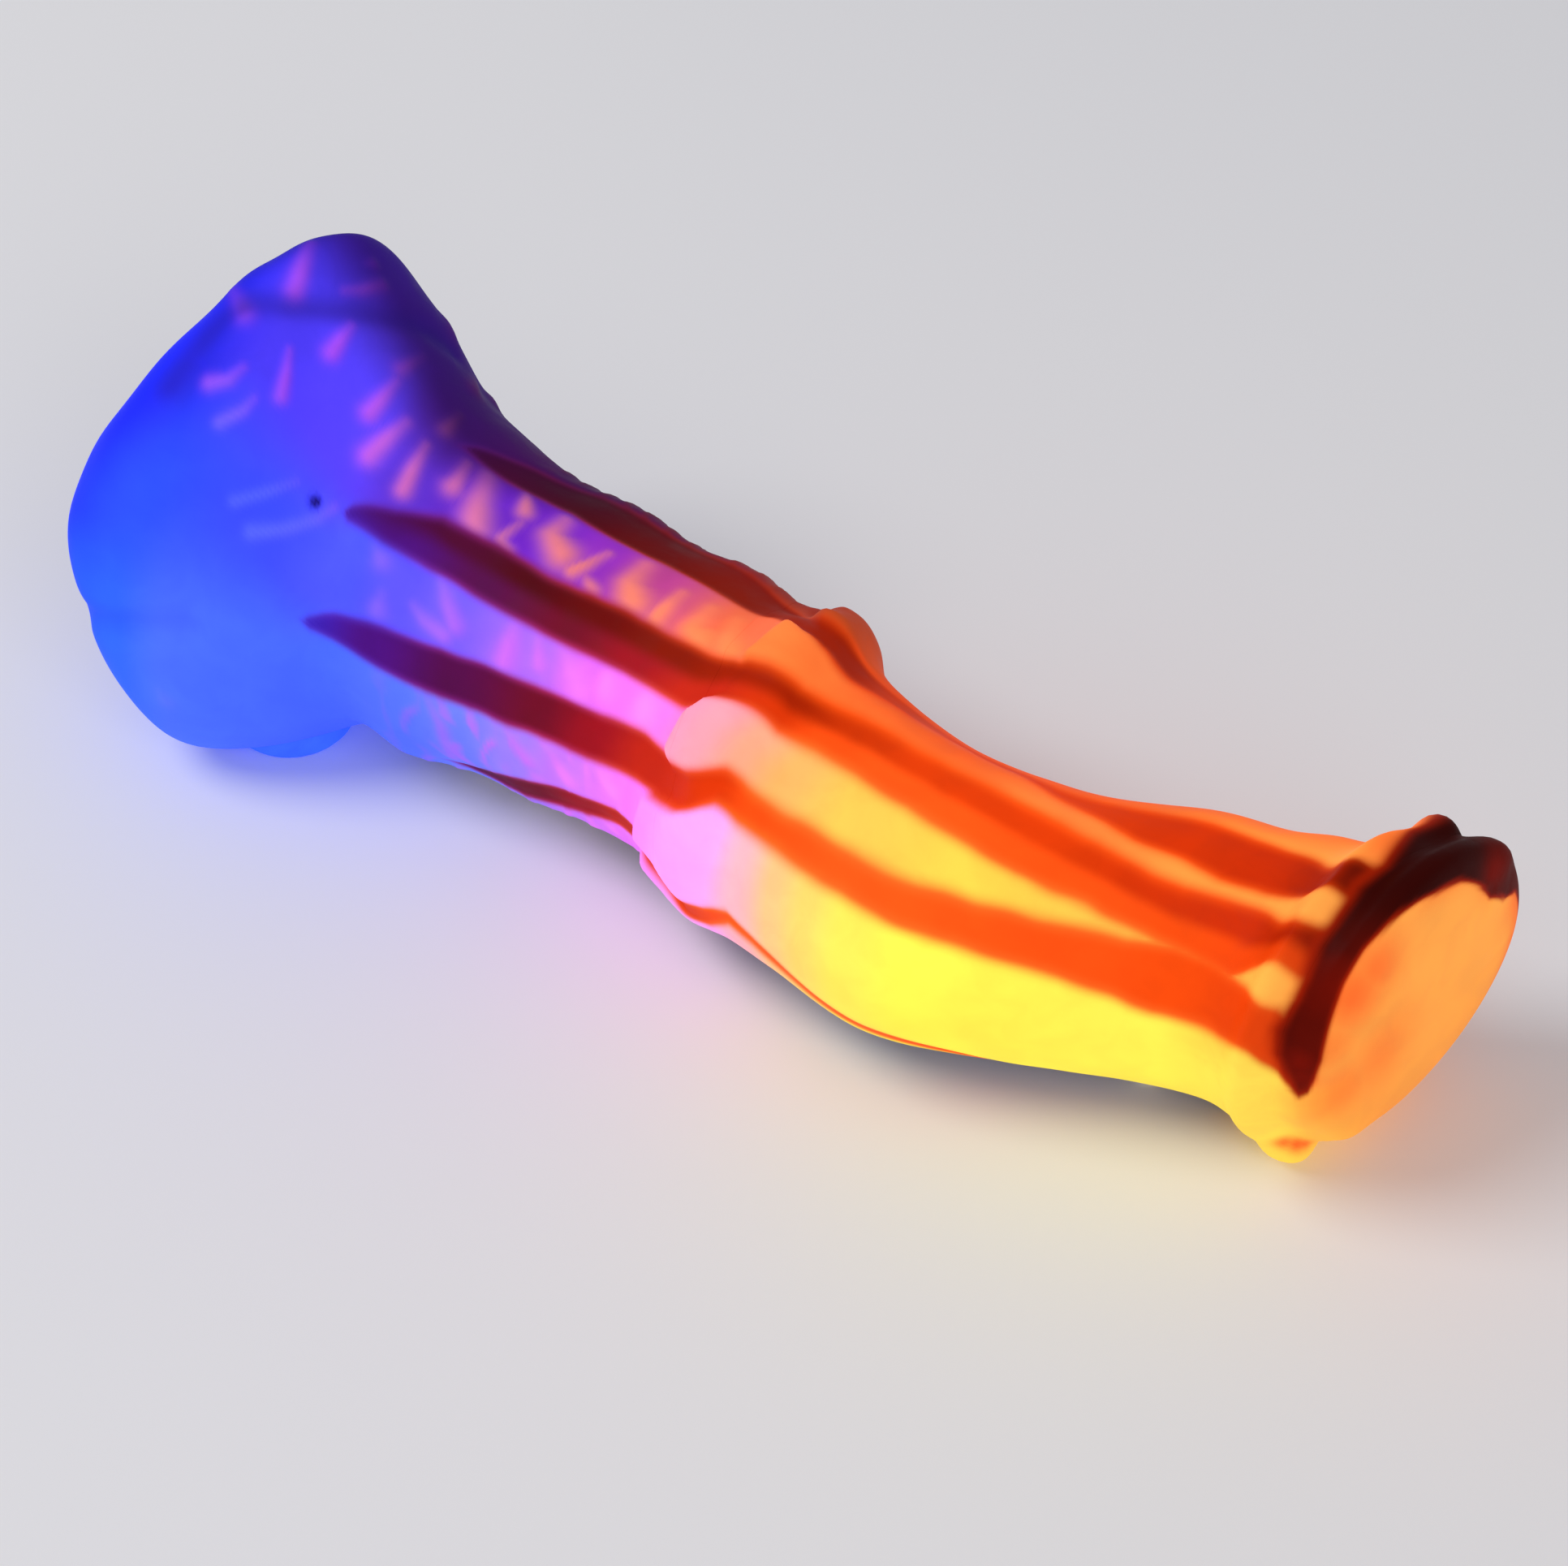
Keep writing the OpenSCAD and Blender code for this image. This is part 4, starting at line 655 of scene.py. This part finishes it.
class Nodes:
    """A new material and short ways to build its node tree."""

    def __init__(self, name):
        self.material = bpy.data.materials.new(name)
        self.material.use_nodes = True
        self.tree = self.material.node_tree
        self.tree.nodes.clear()
        self.shader = self.add("ShaderNodeBsdfPrincipled")
        out = self.add("ShaderNodeOutputMaterial")
        self.link(self.shader.outputs["BSDF"], out.inputs["Surface"])

    def add(self, kind, **values):
        node = self.tree.nodes.new(kind)
        for key, value in values.items():
            setattr(node, key, value)
        return node

    def link(self, a, b):
        self.tree.links.new(a, b)

    def put(self, socket, value):
        if isinstance(value, bpy.types.NodeSocket):
            self.link(value, socket)
        else:
            socket.default_value = value

    def ramp(self, factor, stops):
        node = self.add("ShaderNodeValToRGB")
        node.color_ramp.interpolation = "EASE"
        while len(node.color_ramp.elements) < len(stops):
            node.color_ramp.elements.new(0.5)
        # places first: the ramp sorts its elements by place
        for element, (at, _) in zip(node.color_ramp.elements, stops):
            element.position = at
        for element, (_, colour) in zip(node.color_ramp.elements, stops):
            element.color = linear(colour) if isinstance(colour, str) else colour
        self.link(factor, node.inputs[0])
        return node.outputs["Color"]

    def mix(self, factor, a, b):
        node = self.add("ShaderNodeMix", data_type="RGBA")
        self.put(node.inputs[0], factor)
        self.put(node.inputs[6], a)
        self.put(node.inputs[7], b)
        return node.outputs[2]

    def times(self, a, b):
        node = self.add("ShaderNodeMath", operation="MULTIPLY")
        self.put(node.inputs[0], a)
        self.put(node.inputs[1], b)
        return node.outputs[0]

    def spread(self, value, low, high, to_low=0.0, to_high=1.0):
        node = self.add("ShaderNodeMapRange", interpolation_type="SMOOTHSTEP")
        self.put(node.inputs[0], value)
        for k, v in enumerate((low, high, to_low, to_high)):
            node.inputs[k + 1].default_value = v
        return node.outputs[0]

    def noise(self, scale, detail=3.0, rough=0.5, distortion=0.0, stretch=None):
        coords = self.add("ShaderNodeTexCoord").outputs["Object"]
        if stretch:
            mapping = self.add("ShaderNodeMapping")
            mapping.inputs["Scale"].default_value = stretch
            self.link(coords, mapping.inputs["Vector"])
            coords = mapping.outputs["Vector"]
        node = self.add("ShaderNodeTexNoise")
        self.link(coords, node.inputs["Vector"])
        for key, v in (("Scale", scale), ("Detail", detail), ("Roughness", rough),
                       ("Distortion", distortion)):
            node.inputs[key].default_value = v
        return node.outputs[0]

    def bump(self, height, strength, distance):
        node = self.add("ShaderNodeBump")
        node.inputs["Strength"].default_value = strength
        node.inputs["Distance"].default_value = distance
        self.link(height, node.inputs["Height"])
        self.link(node.outputs[0], self.shader.inputs["Normal"])

    def set(self, **values):
        for key, value in values.items():
            self.put(self.shader.inputs[key.replace("_", " ")], value)


# Colours of the moulding along the form, its tint and the painted glow of the lamps inside in
# one: x in mm and colour. base is the ground, the ridge lists are painted light on the folds,
# edge and core the stripes; low, mid and top are zones, the top one darker and redder, partly
# as painted shade away from the lamps; the far list is painted shade on the side turned away
# from the camera, and the last two lists say where a deeper painted shade comes in and its colour
TINTS = {
    "base_low": [(-122, "#1c4cff"), (-108, "#3064ff"), (-98, "#4a6eff"), (-75, "#4666ff"),
        (-60, "#5470ff"), (-48, "#6c7cff"), (-36, "#9a7cff"), (-22, "#c876ff"), (-8, "#f078ff"),
        (-4.5, "#fa80ff"), (-3, "#ff90ff"), (5, "#ffa0f8"), (10, "#ffa4f8"), (15, "#ffb2bc"),
        (20, "#ffc482"), (26, "#ffd468"), (34, "#ffe658"), (45, "#fff04e"), (80, "#ffea50"),
        (102, "#ffd850"), (109, "#ffb848"), (116, "#ff9c40")],
    "base_mid": [(-122, "#1c34ff"), (-105, "#2c4cff"), (-88, "#3a4aff"), (-72, "#4c54ff"),
        (-62, "#5a50ff"), (-52, "#7058ff"), (-42, "#9060f8"), (-34, "#b068f8"), (-24, "#e068f8"),
        (-8, "#ff78e8"), (-4.5, "#ff80d8"), (-3, "#ff98b4"), (3, "#ff9eac"), (9, "#ffa684"),
        (16, "#ffb060"), (28, "#ffc450"), (50, "#ffcc48"), (78, "#ffb848"), (110, "#ffa848")],
    "base_top": [(-122, "#2438ff"), (-112, "#1c28f0"), (-103, "#2424d8"), (-93, "#4838ec"),
        (-80, "#5440f8"), (-68, "#5a30c8"), (-56, "#6424c0"), (-44, "#6c22bc"), (-33, "#8c2cb4"),
        (-24, "#b43e88"), (-12, "#f06844"), (-4.5, "#ff7048"), (-3, "#ff7e3c"), (6, "#ff7834"),
        (14, "#ff6c2c"), (34, "#ff6c2a"), (56, "#ff8038"), (84, "#ff963e"), (110, "#ffa448")],
    "ridge_light_low": [(-122, "#5070ff"), (-90, "#6474ff"), (-60, "#9060f4"), (-38, "#d068f0"),
        (-15, "#ff80f4"), (0, "#ffb0d0")],
    "ridge_light_top": [(-122, "#6050ff"), (-100, "#9a48e0"), (-84, "#a84cec"), (-66, "#cc66b0"),
        (-50, "#d87490"), (-35, "#ea7c6c"), (-15, "#ff8854"), (0, "#ff8444")],
    "far_shade_tint": [(-122, "#16148c"), (-104, "#1c1088"), (-92, "#400c80"), (-74, "#440c5c"),
        (-40, "#4c0c30"), (-8, "#8c2018"), (2, "#a42c10"), (14, "#d8400e"), (40, "#f64e18"),
        (110, "#ff6a28")],
    "edge_low": [(-90, "#3040f0"), (-70, "#5028b0"), (-50, "#7c2078"), (-25, "#b02858"),
        (-5, "#e04430"), (6, "#f05020"), (14, "#ff6c24"), (80, "#ff6820"), (97, "#e85010"),
        (106, "#c03808")],
    "edge_top": [(-85, "#3c28c8"), (-70, "#581c90"), (-50, "#7c1c58"), (-25, "#a8281c"),
        (-5, "#cc3c0c"), (10, "#f04c0c"), (50, "#ff5814"), (80, "#f04c0c"), (97, "#d84008"),
        (106, "#a02400")],
    "core_low": [(-90, "#2020d0"), (-80, "#3420b8"), (-66, "#480e78"), (-50, "#500a44"),
        (-32, "#6c0c24"), (-18, "#98101c"), (-6, "#c02410"), (8, "#d83404"), (14, "#f84c0e"),
        (30, "#ff5614"), (70, "#f84e0e"), (84, "#ec4808"), (95, "#e04006"), (101, "#dc4008"),
        (106, "#901800")],
    "core_top": [(-85, "#30109c"), (-70, "#44084c"), (-56, "#4a062c"), (-42, "#4c0410"),
        (-28, "#640604"), (-14, "#801400"), (-4, "#981c00"), (6, "#9c1e00"), (18, "#c83202"),
        (34, "#e03c04"), (56, "#dc3a04"), (76, "#cc3002"), (90, "#c02a02"), (99, "#a01e00"),
        (106, "#500800")],
    "far_deep_shade_reach": [(-122, "#ffffff"), (-4, "#ffffff"), (6, "#000000")],
    "far_deep_shade_tint": [(-122, "#140c60"), (-75, "#1c0848"), (-50, "#2c0628"), (-30, "#480818"),
        (-12, "#780e0c"), (0, "#9c200c")]}
ALONG_FROM, ALONG_TO = -125.0, 125.0
# How strongly the folds' painted light, the far side's painted shade, its deeper painted shade
# and the painted shade of the hollows show
RIDGE_LIGHT_SHARE, FAR_SHADE_SHARE, FAR_DEEP_SHADE_SHARE, HOLLOW_SHADE_SHARE = 0.88, 0.8, 0.62, 0.9
EMBER, HOLLOW_SHADE = "#ff5a20", "#22106c"
RING_EDGE, RING_LOW, RING_TOP, RING_EMBER = "#9c1c00", "#480500", "#2c0200", "#6c0a00"
# the moulding is no lamp: its glow is painted light, standing in for the lamps inside
GLOW = 0.4  # share of the colour that is its own light


def attribute(n, name):
    """A vertex attribute in node tree n: its three channels, or its one value."""
    node = n.add("ShaderNodeAttribute", attribute_name=name)
    if name not in ("paint", "zone"):
        return node.outputs["Fac"]
    channels = n.add("ShaderNodeSeparateColor")
    n.link(node.outputs["Color"], channels.inputs[0])
    return channels.outputs[0], channels.outputs[1], channels.outputs[2]


def skin_material():
    """Tinted, slightly cloudy moulding with a painted glow: colours run along the form and by zone.
    """
    n = Nodes("lit_moulding")
    stripe, ring, ridge_light = attribute(n, "paint")
    # the zone's third channel is painted shade in the hollows and the hole
    top, middle, dark = attribute(n, "zone")
    far, ember = attribute(n, "far"), attribute(n, "ember")
    along = n.add("ShaderNodeMapRange")
    n.link(attribute(n, "along"), along.inputs[0])
    along.inputs[1].default_value, along.inputs[2].default_value = ALONG_FROM, ALONG_TO
    width = ALONG_TO - ALONG_FROM
    tint = {name: n.ramp(along.outputs[0], [((x - ALONG_FROM) / width, c) for x, c in stops])
            for name, stops in TINTS.items()}

    colour = n.mix(middle, tint["base_low"], tint["base_mid"])
    colour = n.mix(top, colour, tint["base_top"])
    # painted light: the folds' ridges turn lighter and pinker where the body's glow falls
    ridge_light_colour = n.mix(top, tint["ridge_light_low"], tint["ridge_light_top"])
    colour = n.mix(n.times(ridge_light, RIDGE_LIGHT_SHARE), colour, ridge_light_colour)
    # painted shade on the side turned away from the camera
    colour = n.mix(n.times(far, FAR_SHADE_SHARE), colour, tint["far_shade_tint"])
    colour = n.mix(ember, colour, linear(EMBER))
    edge = n.mix(top, tint["edge_low"], tint["edge_top"])
    core = n.mix(top, tint["core_low"], tint["core_top"])
    colour = n.mix(n.spread(stripe, 0.0, 0.7), colour, edge)
    colour = n.mix(n.spread(stripe, 0.35, 1.0), colour, core)
    ring_core = n.mix(top, linear(RING_LOW), linear(RING_TOP))
    ring_core = n.mix(ember, ring_core, linear(RING_EMBER))
    colour = n.mix(n.spread(ring, 0.0, 0.6), colour, linear(RING_EDGE))
    colour = n.mix(n.spread(ring, 0.3, 1.0), colour, ring_core)
    # deeper painted shade on the far side, on the head and the handle only
    shadowed = n.times(n.times(far, tint["far_deep_shade_reach"]), FAR_DEEP_SHADE_SHARE)
    colour = n.mix(shadowed, colour, tint["far_deep_shade_tint"])
    # painted shade in the hollows and the hole
    colour = n.mix(n.times(dark, HOLLOW_SHADE_SHARE), colour, linear(HOLLOW_SHADE))

    cloud = n.noise(38.0, detail=2.0)
    mottle = n.noise(150.0, rough=0.55, distortion=0.6)
    shade = n.times(n.spread(cloud, 0.25, 0.75, 0.93, 1.03), n.spread(mottle, 0.3, 0.7, 0.96, 1.03))
    scaled = n.add("ShaderNodeVectorMath", operation="SCALE")
    n.link(colour, scaled.inputs[0])
    n.link(shade, scaled.inputs["Scale"])
    colour = scaled.outputs[0]
    # painted glow: the moulding gives off part of its colour as light though it is no lamp
    n.set(Base_Color=colour, Emission_Color=colour, Emission_Strength=GLOW, IOR=1.41,
          Specular_IOR_Level=0.06, Roughness=n.spread(mottle, 0.3, 0.7, 0.50, 0.62))
    n.bump(n.noise(900.0, detail=2.0, rough=0.6), 0.08, 0.0003)
    return n.material


skin_look = skin_material()
for skin, nodes in ((skin_head, ["head_shell"]), (skin_body, ["body_shell"]),
                    (skin_base, ["end_cap"])):
    skin.data.materials.clear()
    skin.data.materials.append(skin_look)
    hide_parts(*nodes)
    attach(skin, "handset")


def plain(name, colour, rough, metal=0.0, shift=0.06, stretch=None, glow=0.0, strength=0.25,
          **more):
    """A moulded, rubber or metal finish: slight colour drift, uneven gloss and a fine grain."""
    n = Nodes(name)
    drift = n.noise(220.0, detail=3.0, rough=0.6, distortion=0.2, stretch=stretch)
    rgb = linear(colour)[:3]
    dark = tuple(c * (1 - 2 * shift) for c in rgb) + (1.0,)
    light = tuple(min(1, c * (1 + shift)) for c in rgb) + (1.0,)
    tone = n.ramp(drift, [(0.25, dark), (0.75, light)])
    gloss = n.spread(drift, 0.2, 0.8, rough * 0.85, min(1, rough * 1.15))
    n.set(Base_Color=tone, Metallic=metal, Roughness=gloss)
    if glow:
        n.set(Emission_Color=tone, Emission_Strength=glow)
    n.set(**more)
    n.bump(n.noise(700.0, detail=2.0, rough=0.6, stretch=stretch), strength, 0.0001)
    return n.material


def board_look():
    """Green board: copper tracks show as lighter lines under the mask."""
    n = Nodes("solder_mask")
    coords = n.add("ShaderNodeTexCoord").outputs["Object"]
    wave = n.add("ShaderNodeTexWave", wave_type="BANDS", bands_direction="Y")
    n.link(coords, wave.inputs["Vector"])
    for key, v in (("Scale", 260.0), ("Distortion", 3.0), ("Detail", 1.0), ("Detail Scale", 0.6)):
        wave.inputs[key].default_value = v
    tracks = n.spread(wave.outputs["Fac"], 0.62, 0.72)
    colour = n.mix(tracks, linear("#0c4a24"), linear("#1b6c38"))
    n.set(Base_Color=colour, Roughness=n.spread(n.noise(300.0), 0.3, 0.7, 0.32, 0.45))
    n.bump(tracks, 0.3, 0.0001)
    return n.material


BRUSHED = (1.0, 14.0, 1.0)
looks = {
    "plate": plain("plate_plastic", "#4a3c86", 0.48, strength=0.4),
    "dial": plain("dial_brushed", "#b9bac4", 0.34, 1.0, stretch=BRUSHED),
    # the keys glow faintly though they are no lamps: painted glow
    "key": plain("key_plastic", "#f1e9d2", 0.30, shift=0.03, glow=0.06, strength=0.12),
    # the ear ring glows like the moulding though it is no lamp: painted glow
    "ear_soft": plain("ear_soft", "#3a68ff", 0.6, glow=0.5, strength=0.3, Specular_IOR_Level=0.2),
    "rubber": plain("soft_rubber", "#26262a", 0.82, shift=0.1, strength=0.5),
    "membrane": plain("membrane_rubber", "#55565c", 0.75, strength=0.4),
    "board": board_look(),
    "screw": plain("screw_plated", "#c4c5c9", 0.28, 1.0, stretch=(6.0, 6.0, 1.0)),
    "grille": plain("grille_metal", "#b0b1b8", 0.36, 1.0, stretch=BRUSHED),
    "holder": plain("holder_plastic", "#8b8c92", 0.5),
    "capsule": plain("capsule_metal", "#b4b6ba", 0.38, 1.0),
    "wire_red": plain("wire_red", "#c8281e", 0.42),
    "wire_blue": plain("wire_blue", "#2450c8", 0.42),
    "weight": plain("weight_plated", "#85878c", 0.42, 1.0, shift=0.12),
    "white": plain("bracket_plastic", "#e8e8e6", 0.5, shift=0.02),
    "lamp_blue": plain("lamp_blue", "#7098ff", 0.12, glow=1.0),
    "lamp_amber": plain("lamp_amber", "#ffb850", 0.12, glow=1.0),
    "milk": plain("milky_plastic", "#f2f2ee", 0.55, shift=0.02, Transmission_Weight=0.2),
    "brass": plain("ringer_brass", "#cda860", 0.3, 1.0),
    "black": plain("black_plastic", "#1e1e21", 0.46, shift=0.1, strength=0.4),
    "cell": plain("cell_sleeve", "#a02a24", 0.34, stretch=(1.0, 5.0, 5.0)),
    "knob_white": plain("knob_white", "#ecece6", 0.3, shift=0.02),
    "knob_red": plain("knob_red", "#d63a30", 0.32)}
KEYS = [f"key_{k}" for k in (1, 2, 3, 4, 5, 6, 7, 8, 9, "star", 0, "hash")]
WORN_BY = {
    "plate": ["base_plate", "battery_door"],
    "dial": ["dial_plate"],
    "membrane": ["key_membrane"],
    "board": ["key_board", "blue_lamp_board", "main_board"],
    "screw": ["board_screws", "weight_screws", "battery_springs", "battery_contacts",
        "hook_spring", "shell_screws"],
    "ear_soft": ["ear_ring"],
    "grille": ["ear_grille"],
    "holder": ["receiver_holder", "ringer_ring", "hook_housing"],
    "capsule": ["receiver_capsule", "microphone"],
    "wire_red": ["receiver_wires"],
    "weight": ["handle_weight"],
    "white": ["lamp_bracket", "light_baffle"],
    "lamp_blue": ["blue_lamps"],
    "milk": ["blue_diffuser", "amber_diffuser"],
    "wire_blue": ["blue_lamp_wires"],
    "brass": ["ringer_disc"],
    "black": ["battery_tray", "light_switch", "ringer_switch", "hook_switch", "line_jack"],
    "cell": ["battery_cells"],
    "lamp_amber": ["amber_lamps_row"],
    "knob_white": ["light_switch_knob"],
    "knob_red": ["ringer_switch_knob"],
    "key": KEYS + ["hook_plunger"],
    "rubber": ["microphone_boot", "rubber_feet"]}
for look, nodes in WORN_BY.items():
    for node in nodes:
        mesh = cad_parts[node].data
        mesh.materials.clear()
        mesh.materials.append(looks[look])

# The keys' printed characters: size, how far they stand out, and what of them is sunk in
PRINT_SIZE, PRINT_RAISED, PRINT_SUNK_SHARE = 5.2 * MM, 0.04 * MM, 0.5


def numeral(key, text, look):
    """A plain character printed on a key's face, upright for a reader looking from below."""
    curve = bpy.data.curves.new(f"{key}_curve", "FONT")
    curve.body, curve.size, curve.resolution_u = text, PRINT_SIZE, 3
    shape = bpy.data.objects.new(f"{key}_shape", curve)
    mesh = bpy.data.meshes.new_from_object(shape)
    bpy.data.objects.remove(shape)
    flat = np.empty(len(mesh.vertices) * 3)
    mesh.vertices.foreach_get("co", flat)
    flat = flat.reshape(-1, 3)
    flat = flat - (flat.min(0) + flat.max(0)) / 2
    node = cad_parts[key]
    corners = np.array([node.matrix_world @ Vector(c) for c in node.bound_box])
    middle = (corners.min(0) + corners.max(0)) / 2
    points = np.stack([middle[0] - flat[:, 1], middle[1] - flat[:, 0],
                       np.full(len(flat), corners[:, 2].min() - PRINT_RAISED)], -1)
    faces = [list(polygon.vertices) for polygon in mesh.polygons]
    bpy.data.meshes.remove(mesh)
    obj = make_mesh(f"print_{key}", points / MM, faces)
    solid = obj.modifiers.new("print", "SOLIDIFY")
    solid.thickness, solid.offset = PRINT_RAISED * (1 + PRINT_SUNK_SHARE), -1.0
    obj.data.materials.append(look)
    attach(obj, key)


ink = plain("key_ink", "#2c2a3c", 0.5)
for key, text in zip(KEYS, "123456789*0#"):
    numeral(key, text, ink)

# ---------------------------------------------------------------- stage and light
FLOOR_HALF = 3000  # in millimetres
WORLD_COLOUR, WORLD_STRENGTH = (0.93, 0.94, 1.0, 1.0), 0.42
AIM = 0, 0, 0.03  # where the softboxes point, in metres
corners = np.array([(-1, -1, 0), (1, -1, 0), (1, 1, 0), (-1, 1, 0)])
floor = make_mesh("floor", corners * FLOOR_HALF, [(0, 1, 2, 3)])
floor_look = Nodes("floor_paper")
floor_look.set(Base_Color=linear("#efeeef"), Roughness=0.9, Specular_IOR_Level=0.1)
floor.data.materials.append(floor_look.material)

world = bpy.data.worlds.new("world")
bpy.context.scene.world = world
world.use_nodes = True
background = world.node_tree.nodes["Background"]
background.inputs["Color"].default_value = WORLD_COLOUR
background.inputs["Strength"].default_value = WORLD_STRENGTH


def softbox(name, place, size, watts):
    """Round area light at a place in metres; it points at the part."""
    data = bpy.data.lights.new(name, "AREA")
    data.shape, data.size, data.energy = "DISK", size, watts
    light = bpy.data.objects.new(name, data)
    light.location = place
    light.rotation_mode = "QUATERNION"
    light.rotation_quaternion = (Vector(AIM) - Vector(place)).to_track_quat("-Z", "Y")
    bpy.context.scene.collection.objects.link(light)


softbox("key_light", (-0.9, -0.5, 1.3), 0.9, 11.0)
softbox("fill_light", (1.1, -0.9, 1.0), 1.2, 5.0)

bpy.context.view_layer.update()
